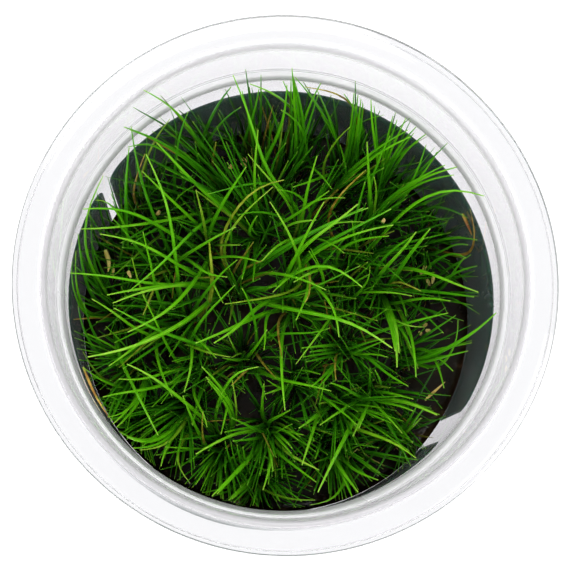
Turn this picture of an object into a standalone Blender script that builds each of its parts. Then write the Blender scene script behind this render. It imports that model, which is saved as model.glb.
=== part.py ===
"""Dwarf hairgrass in an in vitro cup: a clear moulded cup, two wrap-around labels, gel and forty grass plants.

Metres, +Z up. The origin is at the middle of the foot ring, on the surface that the cup stands on.
"""

import math
from collections import namedtuple

import bmesh
import bpy
import numpy as np
from mathutils import Vector

OBJECT_NAME = "hairgrass_cup"
GAP = 0.0003  # air left between neighbouring pieces

# The cup, from the rim down. Radii without another word are of the inner face.
CUP_HEIGHT = 0.055
RIM_RADIUS = 0.045
RIM_THICKNESS = 0.001
RIM_EDGE_WIDTH = 0.0009
RIM_EDGE_DROP = 0.0022
WALL = 0.0009
MOUTH_RADIUS = 0.0394
MOUTH_ROUNDING = 0.0008
COLLAR_FOOT = (0.0383, 0.0434)
LEDGE = (0.0371, 0.0423)
FLOOR_TOP = 0.0019
FLOOR_RADIUS = 0.0355
FLOOR_ROUNDING = 0.002
FOOT_INNER_RADIUS = 0.0323
FOOT_OUTER_RADIUS = 0.0342
FOOT_RECESS = 0.001
CUP_STEPS = 56

# The labels, by height and by bearing, counted from +X and counter-clockwise.
LABEL_BOTTOM = 0.0045
LABEL_TOP = 0.033
LABEL_THICKNESS = 0.0003
LABEL_CORNER = 0.0033
LABEL_STEPS = 28
LABEL_BACK_BEARINGS = (-31.5, 144.7)
LABEL_FRONT_BEARINGS = (148.5, 318.4)

# The gel.
GEL_TOP = 0.008
GEL_MENISCUS = 0.0007
GEL_MENISCUS_WIDTH = 0.0015
GEL_STEPS = 56

# The plants.
CROWN_RADIUS = 0.0025
CROWN_HEIGHT = 0.0019
CROWN_BASE = GEL_TOP + GAP
LEAST_FACE_TILT = 0.3  # blades grow from the crown's faces that look up at least this much
BLADE_WIDTH = 0.00095
BLADE_RINGS = (0.07, 0.52)  # where a blade's cross-sections stand along its height
BLADE_TAPER = 0.3
BLADE_BEND = 1.7  # a blade rises first and leans out later
BLADE_HEIGHTS = (0.62, 0.98)  # as a share of the plant's height
BLADE_STRAY = 0.0012
BLADE_TRIES = 60
MOST_STRAIGHTENING = 0.6  # how much of its lean a blade gives up, by its last try, to find room
WALL_CLEARANCE = 0.0009
CELL = 0.0005  # the grid that keeps blades apart
KEEP_APART = BLADE_WIDTH + GAP
OPEN_POCKET = ((0.0262, -0.0180, 0.0), (0.0322, -0.0110, 0.055))  # bare gel at the lower right
SEED = 7

# A plant stands at (x, y) and its blades lean by (lean_x, lean_y) at their tips, each up to spread away from that.
# Lengths are in millimetres, height is from the crown to the tallest tip.
Plant = namedtuple("Plant", "x y lean_x lean_y spread height blades")
PLANTS = (
    Plant(-24.2, 18.6, 1.0, 5.0, 5.0, 38, 11),
    Plant(-9.5, 22.0, -15.0, 3.0, 4.0, 44, 11),
    Plant(-3.0, 15.0, -16.0, 9.0, 6.0, 44, 11),
    Plant(-12.4, 28.0, -8.0, 1.0, 4.0, 50.5, 11),
    Plant(-4.5, 30.0, -3.5, 3.5, 4.0, 44, 11),
    Plant(3.0, 27.5, 1.0, 7.0, 4.5, 44, 12),
    Plant(12.3, 27.6, -1.0, 4.0, 3.5, 43, 12),
    Plant(10.0, 22.0, 12.0, 5.0, 4.5, 42, 12),
    Plant(17.5, 17.5, 8.0, 4.0, 7.0, 42, 12),
    Plant(14.0, 11.0, 10.0, 0.0, 6.0, 40, 11),
    Plant(26.5, 13.0, 3.0, -2.0, 5.0, 31, 10),
    Plant(-18.0, 19.5, -12.0, -8.0, 5.0, 38, 11),
    Plant(-20.0, 9.0, -12.0, -5.0, 5.0, 36, 11),
    Plant(-28.5, 1.0, -4.5, 2.0, 4.5, 37, 12),
    Plant(-17.0, -1.0, -12.0, -9.0, 6.0, 36, 11),
    Plant(-25.0, -9.0, -4.0, -9.0, 4.5, 32, 11),
    Plant(-16.0, -16.5, -8.0, -7.0, 4.0, 33, 11),
    Plant(-10.0, -24.0, -2.0, -8.0, 5.0, 33, 11),
    Plant(-1.0, -20.0, 2.0, -7.0, 8.0, 33, 11),
    Plant(-6.0, -8.0, -1.0, -4.5, 7.0, 35, 11),
    Plant(17.0, -14.0, 0.0, -6.0, 8.0, 36, 11),
    Plant(12.0, -5.5, 1.0, -4.5, 6.5, 34, 11),
    Plant(20.0, 4.5, 1.0, -10.0, 6.0, 39, 11),
    Plant(22.0, -7.5, 9.0, 2.0, 4.5, 38, 10),
    Plant(10.0, -23.5, 0.0, -9.0, 5.0, 34, 11),
    Plant(3.0, 2.5, 9.0, -9.0, 6.0, 41, 11),
    Plant(-8.0, 5.0, 0.0, -3.0, 8.0, 38, 11),
    Plant(4.0, 13.0, 6.0, 2.0, 7.0, 38, 11),
    Plant(4.0, -12.0, 2.0, -4.5, 7.0, 33, 10),
    Plant(22.0, -21.0, -1.0, -4.0, 4.0, 26, 8),
    Plant(-12.5, 13.0, -4.0, 3.0, 6.0, 37, 8),
    Plant(-28.5, 10.0, -4.0, 5.0, 4.5, 37, 9),
    Plant(28.0, 4.5, 4.0, -1.0, 5.0, 32, 8),
    Plant(-13.5, -9.5, -3.0, -6.0, 6.0, 34, 8),
    Plant(12.0, 3.5, 4.0, -4.0, 6.0, 36, 8),
    Plant(10.5, -16.0, 0.0, -5.0, 6.0, 33, 8),
    Plant(-22.5, -18.5, -3.0, -4.0, 4.0, 31, 8),
    Plant(-3.0, -28.5, 1.0, -4.0, 4.0, 31, 8),
    Plant(19.5, 23.2, 4.0, 3.0, 4.0, 41, 8),
    Plant(-2.0, 22.0, 2.0, 4.0, 5.0, 41, 8),
)


def clear_scene():
    for item in list(bpy.data.objects):
        bpy.data.objects.remove(item, do_unlink=True)


def make_collection(name):
    collection = bpy.data.collections.new(name)
    bpy.context.scene.collection.children.link(collection)
    return collection


def make_material(name, colour, roughness, transmission=0.0, ior=1.5, alpha=1.0):
    material = bpy.data.materials.new(name)
    material.use_nodes = True
    shader = material.node_tree.nodes["Principled BSDF"]
    shader.inputs["Base Color"].default_value = (*colour, 1.0)
    shader.inputs["Roughness"].default_value = roughness
    shader.inputs["Metallic"].default_value = 0.0
    shader.inputs["Transmission Weight"].default_value = transmission
    shader.inputs["IOR"].default_value = ior
    shader.inputs["Alpha"].default_value = alpha
    material.diffuse_color = (*colour, alpha)
    return material


def add_object(name, mesh, material, collection):
    mesh.materials.append(material)
    mesh.shade_smooth()
    mesh.set_sharp_from_angle(angle=math.radians(35))
    item = bpy.data.objects.new(name, mesh)
    collection.objects.link(item)
    return item


def arc(centre, radius, start, end, count):
    """Points on a round corner of a profile, from one bearing to another in degrees."""
    bearings = (math.radians(start + (end - start) * i / (count - 1)) for i in range(count))
    return [(centre[0] + radius * math.cos(b), centre[1] + radius * math.sin(b)) for b in bearings]


def wall_radius(height):
    """The radius of the cup's inner face at a height, or at each of an array of heights, above the floor's corner."""
    heights = (FLOOR_TOP, LEDGE[1], COLLAR_FOOT[1], CUP_HEIGHT)
    radii = (FLOOR_RADIUS, LEDGE[0], COLLAR_FOOT[0], MOUTH_RADIUS)
    return np.interp(height, heights, radii)


def turned_object(name, profile, steps, material, collection):
    """A body turned about Z from a profile that runs up its inner side and down its outer side."""
    mesh = bpy.data.meshes.new(name)
    outline = bmesh.new()
    verts = [outline.verts.new((radius, 0.0, height)) for radius, height in profile]
    for first, second in zip(verts, verts[1:]):
        outline.edges.new((first, second))
    outline.to_mesh(mesh)
    outline.free()
    item = add_object(name, mesh, material, collection)
    screw = item.modifiers.new("turn", "SCREW")
    screw.axis = "Z"
    screw.steps = steps
    screw.render_steps = steps
    screw.use_merge_vertices = True
    screw.merge_threshold = 0.00001
    screw.use_smooth_shade = True
    return item


def cup_profile():
    """Half a section through the cup: inside from the floor's middle to the rim, then back down the outside."""
    inner_corner = (FLOOR_RADIUS - FLOOR_ROUNDING, FLOOR_TOP + FLOOR_ROUNDING)
    mouth = (MOUTH_RADIUS + MOUTH_ROUNDING, CUP_HEIGHT - MOUTH_ROUNDING)
    rim_under = CUP_HEIGHT - RIM_THICKNESS
    edge_inner = RIM_RADIUS - RIM_EDGE_WIDTH
    edge_foot = CUP_HEIGHT - RIM_EDGE_DROP
    return [
        (0.0, FLOOR_TOP),
        *arc(inner_corner, FLOOR_ROUNDING, -90, 0, 3),
        LEDGE,
        COLLAR_FOOT,
        *arc(mouth, MOUTH_ROUNDING, 180, 90, 3),
        (RIM_RADIUS - 0.0004, CUP_HEIGHT),
        (RIM_RADIUS, CUP_HEIGHT - 0.0004),
        (RIM_RADIUS, edge_foot),
        (edge_inner, edge_foot),
        (edge_inner, rim_under),
        (MOUTH_RADIUS + WALL + 0.0006, rim_under),
        (MOUTH_RADIUS + WALL - 0.0001, rim_under - 0.0009),
        (COLLAR_FOOT[0] + WALL, COLLAR_FOOT[1] - 0.0004),
        (LEDGE[0] + WALL, LEDGE[1] - 0.0006),
        (FLOOR_RADIUS + WALL, FOOT_RECESS + 0.0014),
        (FOOT_OUTER_RADIUS, 0.0),
        (FOOT_INNER_RADIUS, 0.0),
        (FOOT_INNER_RADIUS - 0.0006, FOOT_RECESS),
        (0.0, FOOT_RECESS),
    ]


def outer_wall_radius(height):
    """The radius of the cup's outer face between the foot and the ledge."""
    heights = (FOOT_RECESS + 0.0014, LEDGE[1] - 0.0006)
    radii = (FLOOR_RADIUS + WALL, LEDGE[0] + WALL)
    return float(np.interp(height, heights, radii))


def make_cup(collection):
    plastic = make_material("clear_polystyrene", (0.95, 0.97, 0.98), 0.05, 1.0, 1.59, 0.25)
    return turned_object("cup", cup_profile(), CUP_STEPS, plastic, collection)


def make_label(name, bearings, material, collection):
    """A flat strip with rounded corners, wrapped round the tapered wall and given its thickness."""
    mesh = bpy.data.meshes.new(name)
    strip = bmesh.new()
    bmesh.ops.create_grid(strip, x_segments=LABEL_STEPS, y_segments=1, size=0.5)
    middle = math.radians(sum(bearings) / 2)
    sweep = math.radians(bearings[1] - bearings[0])
    radius = outer_wall_radius(LABEL_TOP) + GAP
    height = LABEL_TOP - LABEL_BOTTOM
    bmesh.ops.scale(strip, vec=(radius * sweep, height, 1.0), verts=strip.verts)
    corners = [vert for vert in strip.verts if len(vert.link_edges) == 2]
    bmesh.ops.bevel(
        strip,
        geom=corners,
        offset=LABEL_CORNER,
        offset_type="OFFSET",
        affect="VERTICES",
        segments=4,
        profile=0.5,
        material=-1,
    )
    for vert in strip.verts:
        bearing = middle + vert.co.x / radius
        level = (LABEL_BOTTOM + LABEL_TOP) / 2 + vert.co.y
        reach = outer_wall_radius(level) + GAP
        vert.co = (reach * math.cos(bearing), reach * math.sin(bearing), level)
    strip.to_mesh(mesh)
    strip.free()
    item = add_object(name, mesh, material, collection)
    skin = item.modifiers.new("thickness", "SOLIDIFY")
    skin.thickness = LABEL_THICKNESS
    skin.offset = 1.0
    return item


def make_labels(collection):
    film = make_material("dark_green_label_film", (0.012, 0.03, 0.025), 0.3)
    make_label("label_back", LABEL_BACK_BEARINGS, film, collection)
    make_label("label_front", LABEL_FRONT_BEARINGS, film, collection)


def make_gel(collection):
    """A disc of gel that climbs a little where it meets the wall."""
    bottom = FLOOR_TOP + GAP
    corner_radius = FLOOR_RADIUS - FLOOR_ROUNDING
    edge = wall_radius(GEL_TOP) - GAP
    profile = [
        (0.0, GEL_TOP),
        (edge - GEL_MENISCUS_WIDTH, GEL_TOP),
        (edge, GEL_TOP + GEL_MENISCUS),
        (wall_radius(FLOOR_TOP + FLOOR_ROUNDING) - GAP, FLOOR_TOP + FLOOR_ROUNDING),
        (corner_radius, bottom),
        (0.0, bottom),
    ]
    gel = make_material("dark_nutrient_gel", (0.018, 0.012, 0.008), 0.15)
    return turned_object("nutrient_gel", profile, GEL_STEPS, gel, collection)


class TakenSpace:
    """A grid of small cells that remembers which of them are taken, so that no blades cross."""

    def __init__(self):
        self.low = np.array((-RIM_RADIUS, -RIM_RADIUS, 0.0))
        size = np.array((2 * RIM_RADIUS, 2 * RIM_RADIUS, 0.07)) / CELL
        self.cells = np.zeros(size.astype(int) + 1, bool)
        reach = math.ceil(KEEP_APART / CELL)
        span = np.arange(-reach, reach + 1)
        ball = np.stack(np.meshgrid(span, span, span, indexing="ij"), -1).reshape(-1, 3)
        self.ball = ball[np.linalg.norm(ball, axis=1) <= KEEP_APART / CELL]

    def index(self, points):
        return np.round((np.asarray(points) - self.low) / CELL).astype(int)

    def hold_box(self, low, high):
        first, last = self.index((low, high))
        self.cells[first[0] : last[0], first[1] : last[1], first[2] : last[2]] = True

    def hold(self, points):
        cells = (self.index(points)[:, None, :] + self.ball).reshape(-1, 3)
        cells = np.clip(cells, 0, np.array(self.cells.shape) - 1)
        self.cells[tuple(cells.T)] = True

    def free(self, points):
        return not self.cells[tuple(self.index(points).T)].any()


def crown_foot(plant):
    """The middle of the flat bottom of a plant's crown."""
    return Vector((plant.x / 1000, plant.y / 1000, CROWN_BASE))


def make_crown(bm, plant):
    """The knot that a plant's blades grow from: the upper half of a flattened ball."""
    bmesh.ops.create_icosphere(bm, subdivisions=2, radius=CROWN_RADIUS)
    bmesh.ops.scale(bm, vec=(1.0, 1.0, CROWN_HEIGHT / CROWN_RADIUS), verts=bm.verts)
    everything = bm.verts[:] + bm.edges[:] + bm.faces[:]
    bmesh.ops.bisect_plane(bm, geom=everything, plane_co=(0, 0, 0), plane_no=(0, 0, 1), clear_inner=True)
    bmesh.ops.holes_fill(bm, edges=[edge for edge in bm.edges if edge.is_boundary])
    bmesh.ops.translate(bm, vec=crown_foot(plant), verts=bm.verts)
    bm.normal_update()


def blade_path(root, tip, count):
    """Points along a blade that rises from its root and bends over to its tip."""
    along = np.linspace(0.0, 1.0, count)
    root, tip = np.array(root), np.array(tip)
    points = root + (tip - root) * along[:, None]
    points[:, :2] = root[:2] + (tip - root)[:2] * along[:, None] ** BLADE_BEND
    return points


def inside_cup(points):
    limits = wall_radius(points[:, 2]) - WALL_CLEARANCE
    return bool((np.hypot(points[:, 0], points[:, 1]) < limits).all())


def find_tip(plant, root, outward, tallest, taken, rng):
    """A tip for the blade that starts at root, such that it crosses neither the wall nor another blade."""
    lean = np.array((plant.lean_x, plant.lean_y)) / 1000
    for attempt in range(BLADE_TRIES):
        upright = 1.0 - MOST_STRAIGHTENING * attempt / BLADE_TRIES
        swing = outward * plant.spread / 1000 * rng.uniform(0.5, 1.2)
        stray = rng.normal(0.0, BLADE_STRAY, 2)
        place = root[:2] + lean * upright * rng.uniform(0.75, 1.1) + swing + stray
        height = plant.height / 1000 * (1.0 if tallest else rng.uniform(*BLADE_HEIGHTS))
        tip = np.array((*place, root[2] + height))
        path = blade_path(root, tip, int(height / CELL * 1.5))
        above_crown = path[path[:, 2] > root[2] + CROWN_HEIGHT]
        if inside_cup(path) and taken.free(above_crown):
            taken.hold(above_crown)
            return tip
    return None


def grow_blade(bm, face, tip):
    """Draws a crown's face out along the blade's path in three lengths and a point."""
    root = np.array(face.calc_center_median())
    direction = face.normal.copy()
    path = blade_path(root, tip, 101)
    width = max(edge.calc_length() for edge in face.edges)
    for share in BLADE_RINGS:
        step = round(share * 100)
        forward = Vector(path[step + 1] - path[step - 1]).normalized()
        face = bmesh.ops.extrude_discrete_faces(bm, faces=[face])["faces"][0]
        middle = face.calc_center_median()
        turn = direction.rotation_difference(forward)
        shrink = BLADE_WIDTH * (1.0 - BLADE_TAPER * share) / width
        for vert in face.verts:
            vert.co = Vector(path[step]) + turn @ (vert.co - middle) * shrink
        direction = forward
        width *= shrink
    point = bmesh.ops.poke(bm, faces=[face])["verts"][0]
    point.co = Vector(tip)


def make_plant(number, plant, taken, rng, material, collection):
    """A crown with blades drawn out of some of its upper faces."""
    name = f"tuft_{number:02d}"
    mesh = bpy.data.meshes.new(name)
    bm = bmesh.new()
    make_crown(bm, plant)
    foot = np.array(crown_foot(plant))
    faces = [face for face in bm.faces if face.normal.z > LEAST_FACE_TILT]
    grown = 0
    for index in rng.permutation(len(faces)):
        if grown == plant.blades:
            break
        root = np.array(faces[index].calc_center_median())
        outward = (root - foot)[:2] / CROWN_RADIUS
        tip = find_tip(plant, root, outward, grown == 0, taken, rng)
        if tip is None:
            continue
        grow_blade(bm, faces[index], tip)
        grown += 1
    bm.normal_update()
    bm.to_mesh(mesh)
    bm.free()
    return add_object(name, mesh, material, collection)


def make_plants(collection):
    leaf = make_material("hairgrass_leaf", (0.08, 0.30, 0.02), 0.35)
    rng = np.random.default_rng(SEED)
    taken = TakenSpace()
    taken.hold_box(*OPEN_POCKET)
    for plant in PLANTS:
        foot = crown_foot(plant)
        half = Vector((CROWN_RADIUS, CROWN_RADIUS, 0.0))
        taken.hold_box(foot - half, foot + half + Vector((0, 0, CROWN_HEIGHT)))
    for number, plant in enumerate(PLANTS, 1):
        make_plant(number, plant, taken, rng, leaf, collection)


def main():
    clear_scene()
    collection = make_collection(OBJECT_NAME)
    make_cup(collection)
    make_labels(collection)
    make_gel(collection)
    make_plants(collection)


main()
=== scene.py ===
"""The looks of a cup of dwarf hairgrass: clear cup, plain film labels, dark gel and fine grass."""

import math
import random
from collections import namedtuple

import bmesh
import bpy
from mathutils import Matrix, Quaternion, Vector, noise


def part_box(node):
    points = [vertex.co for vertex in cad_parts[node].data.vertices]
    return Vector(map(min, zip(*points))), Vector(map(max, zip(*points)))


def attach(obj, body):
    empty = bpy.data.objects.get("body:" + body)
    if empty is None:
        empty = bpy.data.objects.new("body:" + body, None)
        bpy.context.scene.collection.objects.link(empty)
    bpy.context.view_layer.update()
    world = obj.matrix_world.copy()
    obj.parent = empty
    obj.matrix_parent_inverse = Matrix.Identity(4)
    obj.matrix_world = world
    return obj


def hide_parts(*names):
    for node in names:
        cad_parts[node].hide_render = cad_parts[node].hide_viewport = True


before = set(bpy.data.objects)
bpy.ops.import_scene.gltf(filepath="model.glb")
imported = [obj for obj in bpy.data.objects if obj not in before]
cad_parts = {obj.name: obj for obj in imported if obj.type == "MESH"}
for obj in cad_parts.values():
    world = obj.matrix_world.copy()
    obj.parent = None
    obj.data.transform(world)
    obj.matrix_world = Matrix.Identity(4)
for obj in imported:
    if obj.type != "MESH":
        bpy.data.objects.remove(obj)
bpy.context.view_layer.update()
CUP_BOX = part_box("cup")

bl_info = {
    "name": "Hairgrass cup",
    "version": (1, 0, 0),
    "blender": (4, 5, 0),
    "location": "View3D > Sidebar > Hairgrass",
    "description": "Builds a clear cup of dwarf hairgrass and the plain stage that it stands on",
    "category": "Object",
}

BODY = "root"
SEED = 11

# The camera of the photo: its picture is square, and pixels are counted in a picture of this size.
PICTURE_SIDE = 570
SENSOR_WIDTH = 36.0
FOCAL_PIXELS = 2132.0
CAMERA_DISTANCE = 0.350
CAMERA_ELEVATION = math.radians(80.85)
CAMERA_AZIMUTH = math.radians(-14.87)
CAMERA_TARGET = Vector((-0.00028, -0.00080, 0.055))
CLIP_START = 0.01

# The outside of the cup steps under its collar, ledge and foot.
COLLAR_STEP = 0.0004
LEDGE_STEP = 0.0006
FOOT_STEP = 0.0014
FOOT_SLOPE = 0.0006

# Haze in the clear plastic: where it fades out on each side of an edge, and how clear it leaves it.
LEDGE_HAZE = (0.0003, 0.0009)
COLLAR_HAZE = (0.0001, 0.0007)
MOUTH_HAZE = (0.0012, 0.0022)
NECK_FADE = 0.0008
CLEAR_SHARE, CLEAR_ROUGHNESS = 0.965, 0.03
MILKY_SHARE, MILKY_ROUGHNESS = 0.6, 0.3
CLEARER_REACH = (0.5, 0.85)  # the ledge is clearer where the near label has come loose
CLEARER_SHARE = 0.45

# The labels. The near one has come loose at its foot, round this bearing and as far as this on each side.
LABEL_GAP = 0.0003
LABEL_STRIPS = 120
LABEL_ROWS = 10
LOOSE_BEARING = math.radians(236)
LOOSE_SWEEP = math.radians(62)
PRINT_SHADE = "#1D3F36"
GUM_SHADE = "#336256"

# The gel wets the wall and climbs at it.
GEL_STEPS = 180
GEL_RINGS = (0.15, 0.3, 0.45, 0.6, 0.72, 0.82, 0.9)
GEL_GAP = 0.00006
GEL_WAVE = 0.00022
MENISCUS_RISE = 0.0007
GEL_SHADE = "#1A120C"
GEL_SILT = "#5A4630"

# Blades: how finely they are cut, how they taper, and how their green changes.
BLADE_SIDES = 6
BLADE_CUTS = 13
CURVE_STEPS = 12
SMOOTHINGS = 3
SHEATH_LENGTH = 0.25
SHEATH_GIRTH = 0.72
TAPER = 0.78
TAPER_POWER = 2.6
MOTTLE_SHARE = 0.34
FIBRES = 7.0
FIBRE_SHARE = 0.12
# Painted light and shade along each blade: darker at its foot, deep in the grass, and lighter to its tip.
TIP_PAINTED_LIGHT = 0.45
FOOT_PAINTED_SHADE = 0.26
SHEATH_PALE = 0.6
TIP_PALE = 0.55
# Painted shade: blades towards the far side are darkened where the far label shades them.
FAR_SHADE_FROM = (-0.005, 0.03)  # between these, in metres towards the far side, the green grows deeper
FAR_SHADE_TONE = 0.45

# How a plant is read from its solid and kept inside the cup.
TALLEST_CROWN = 0.0050
ROOT_SHARE = 0.13
HOLD_OFF_WALL = 0.00055
RISE_FIRST = 0.588  # a blade's height grows with this power of how far it has leaned out
JOINT_REACH, JOINT_PLACE, JOINT_EASE = 0.4, 0.55, 0.45  # how the hidden foot joins the visible stretch

# The blades that fill the clumps: shares of the solid's blades, and tones as lowest, highest and usual.
MAIN_SHARE = (0.84, 0.97)
MAIN_TONE = (0.0, 0.72, 0.3)
MAIN_DRY_SHARE = 0.15
COMPANION_SHARE = (0.45, 0.92)
COMPANION_TONE = (0.0, 0.62, 0.22)
COMPANION_DRY_SHARE = 0.05
COMPANION_SHIFT = 1.2
COMPANION_KNEE = 0.3

# Blades that arch out of a crown. Reach, rise and stand, how far from the crown they start, in millimetres.
Habit = namedtuple("Habit", "reach rise stand knee tone")
SHOOT = Habit((2.5, 12.0), (6.0, 22.0), (0.3, 2.6), (0.35, 0.7), (0.0, 0.5, 0.2))
EDGE_BLADE = Habit((5.0, 14.0), (14.0, 33.0), (0.3, 2.0), (0.4, 0.62), (0.05, 0.7, 0.3))

# Where the clumps grow fuller or thinner. Plants near the viewer and near the wall fill the gap to the
# wall, but not so far right that they close the pocket where the gel lies open. Places are in metres.
NEAR_SIDE = -0.004
NEAR_WALL = 0.017
POCKET_SIDE = 0.014
SPARSE_PLANTS = (24, 33)  # the gel and its dead scraps show between these
SPARSE_SHARE = 0.25
FAR_SIDE = (0.012, 0.024)  # between these the plants grow thinner towards the far wall
FAR_SHARE = 0.34

# How the traced strands and scraps are drawn.
SCRAP_LOW = 25  # scraps lower than this, in millimetres, hang caught between the shoots
SCRAP_LIFT = 8
SCRAP_WIDTH = 1.35
STRAND_WIDTH = 1.16  # a living strand against the full width of a blade
STRAND_TONE = 0.78  # the photo's palest strand on the scale from deep green to lime
MILLIMETRE = 0.001

# Three softboxes stand round the table, out of the gel's mirror image of the camera.
SOFTBOX_BEARINGS = (100, 215, 335)
SOFTBOX_REACH = 0.5
SOFTBOX_HEIGHT = 0.75
SOFTBOX_SIDE = 0.45
SOFTBOX_AIM = (0, 0, 0.03)
WALL_TO_CEILING = (0.6, 0.9)
TABLE_SHADE = "#484848"
WHITE = (1.0, 1.0, 1.0, 1.0)


def length_property(name, description, default, **more):
    return bpy.props.FloatProperty(
        name=name, description=description, default=default, unit="LENGTH", precision=5, **more
    )


def linear(hex_colour, alpha=1.0):
    """An sRGB hex colour as linear light."""
    parts = [int(hex_colour[i : i + 2], 16) / 255 for i in (1, 3, 5)]
    return (*(p / 12.92 if p <= 0.04045 else ((p + 0.055) / 1.055) ** 2.4 for p in parts), alpha)


def colour_property(name, description, default):
    return bpy.props.FloatVectorProperty(
        name=name,
        description=description,
        subtype="COLOR",
        size=4,
        min=0.0,
        max=1.0,
        default=linear(default),
    )


class CupSizes(bpy.types.PropertyGroup):
    """Sizes of the clear cup and its labels, the same as in the solids."""

    rim_thickness: length_property("Rim thickness", "Thickness of the flat rim", 0.001)
    rim_edge_width: length_property("Rim edge width", "Thickness of the rim's turned-down edge", 0.0009)
    rim_edge_drop: length_property("Rim edge drop", "How far the edge hangs below the rim's top", 0.0022)
    wall: length_property("Wall", "Thickness of the cup's wall", 0.0009)
    mouth_radius: length_property(
        "Mouth radius",
        "Inner radius just under the mouth's rounded edge",
        0.0394,
    )
    mouth_rounding: length_property("Mouth rounding", "Radius of the mouth's rounded edge", 0.0008)
    collar_radius: length_property("Collar radius", "Inner radius at the collar's foot", 0.0383)
    collar_height: length_property("Collar height", "Height of the collar's foot", 0.0434)
    ledge_radius: length_property("Ledge radius", "Inner radius under the stacking ledge", 0.0371)
    ledge_height: length_property("Ledge height", "Height of the stacking ledge", 0.0423)
    floor_radius: length_property("Floor radius", "Inner radius at the floor", 0.0355)
    floor_top: length_property("Floor top", "Height of the floor's upper face", 0.0019)
    floor_rounding: length_property("Floor rounding", "Radius between the floor and the wall", 0.002)
    foot_inner_radius: length_property("Foot inner radius", "Inner radius of the foot ring", 0.0323)
    foot_outer_radius: length_property("Foot outer radius", "Outer radius of the foot ring", 0.0342)
    foot_recess: length_property("Foot recess", "How far the floor's underside stands off the table", 0.001)
    edge_rounding: length_property("Edge rounding", "Radius of the moulding's small edges", 0.00022)
    turn_steps: bpy.props.IntProperty(name="Turn steps", description="Steps round the cup", default=180)
    label_thickness: length_property("Label thickness", "Thickness of a label with its gum", 0.0003)
    label_hang: length_property(
        "Label hang",
        "How far the loose part of a label stands off the wall at its foot",
        0.0009,
    )
    label_corner: length_property("Label corner", "Radius of a label's corners", 0.0033)
    # Painted shade: the rim is the same clear plastic as the neck, tinted greyer so the flat rim shows a
    # little darker than the bright table beneath.
    rim_painted_shade: colour_property(
        "Rim colour",
        "Colour of the clear plastic in the rim, which is greyer",
        "#E7E7E9",
    )
    plastic_colour: colour_property("Plastic colour", "Colour of the clear plastic", "#FCFAFE")
    label_colour: colour_property("Label colour", "Colour of the labels outside", "#234A3F")
    label_gum_colour: colour_property(
        "Label gum colour",
        "Colour of the labels seen through the cup",
        "#3F7566",
    )


class GelLook(bpy.types.PropertyGroup):
    """Sizes and colours of the nutrient gel."""

    meniscus_width: length_property("Meniscus width", "How wide the gel climbs at the wall", 0.0015)
    dimple_size: length_property("Dimple size", "Distance between the surface's low waves", 0.004)
    colour: colour_property("Gel colour", "Colour of the wet dark gel", "#2B1E14")


class GrassLook(bpy.types.PropertyGroup):
    """Sizes and colours of the grass blades."""

    blade_width: length_property("Blade width", "Width of a full-grown blade", 0.00062)
    blade_thickness: length_property("Blade thickness", "Thickness of a full-grown blade", 0.00036)
    companions: bpy.props.IntProperty(
        name="Companions", description="Finer blades beside each main blade", default=3
    )
    shoots: bpy.props.IntProperty(
        name="Shoots",
        description="Short young blades round each crown",
        default=22,
    )
    edge_blades: bpy.props.IntProperty(
        name="Edge blades",
        description="Blades that lean to the wall from each plant on the near side",
        default=26,
    )
    roots: bpy.props.IntProperty(
        name="Roots",
        description="Fine roots on the gel round each crown",
        default=4,
    )
    shade_colour: colour_property("Shade green", "Colour of old and shaded blades", "#1A4405")
    leaf_colour: colour_property("Leaf green", "Colour of most blades", "#3B9208")
    # Bright green is partly painted light on blades lit from above, besides young blades; pale green is
    # also the painted highlight at the top of the greens.
    bright_colour: colour_property("Bright green", "Colour of young blades", "#6DC20C")
    pale_colour: colour_property("Pale green", "Colour of tips and sheaths", "#A9DB4A")
    straw_colour: colour_property("Straw", "Colour of blades that have died back", "#C9A545")
    # Cream is also painted light on the dead scraps that lie low between the shoots.
    cream_colour: colour_property("Cream colour", "Colour of bleached bits", "#EDCB7A")
    rust_colour: colour_property("Rust", "Colour of the oldest dead blades", "#8C5320")


class StageLook(bpy.types.PropertyGroup):
    """The table and the light."""

    floor_radius: length_property("Floor radius", "Radius of the pale table top", 1.5)
    floor_colour: colour_property("Floor colour", "Colour of the pale table top", "#4C4C4C")
    table_glow: bpy.props.FloatProperty(
        name="Table glow",
        description="Light from the table itself",
        default=1.2,
    )
    wall_strength: bpy.props.FloatProperty(
        name="Walls",
        description="Light of the room's walls",
        default=1.15,
    )
    ceiling_strength: bpy.props.FloatProperty(
        name="Ceiling",
        description="Light of the ceiling",
        default=0.35,
    )
    softbox_power: bpy.props.FloatProperty(
        name="Softbox", description="Power of each softbox in watts", default=2.5, unit="POWER"
    )


def feed(tree, node, sources):
    """Feeds a node's inputs, each from another node's socket or with a plain value."""
    for key, source in sources.items():
        if isinstance(source, bpy.types.NodeSocket):
            tree.links.new(source, node.inputs[key])
        else:
            node.inputs[key].default_value = source


def add_node(tree, kind, sources=(), **settings):
    """Adds a node with its settings and feeds its inputs."""
    node = tree.nodes.new(kind)
    for key, value in settings.items():
        setattr(node, key, value)
    feed(tree, node, dict(sources))
    return node


def own_space(tree):
    """The place on the piece, in metres."""
    return add_node(tree, "ShaderNodeTexCoord").outputs["Object"]


def maths(tree, operation, *sources):
    """One step of arithmetic."""
    node = add_node(tree, "ShaderNodeMath", enumerate(sources), operation=operation)
    return node.outputs["Value"]


def vector_maths(tree, operation, result, *sources):
    """One step of arithmetic with directions."""
    node = add_node(tree, "ShaderNodeVectorMath", enumerate(sources), operation=operation)
    return node.outputs[result]


def remap(tree, value, low, high, at_low, at_high, ease="LINEAR"):
    """The value moved from one range to another and held inside it."""
    sources = {"Value": value, "From Min": low, "From Max": high, "To Min": at_low, "To Max": at_high}
    node = add_node(tree, "ShaderNodeMapRange", sources, interpolation_type=ease)
    return node.outputs["Result"]


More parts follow.
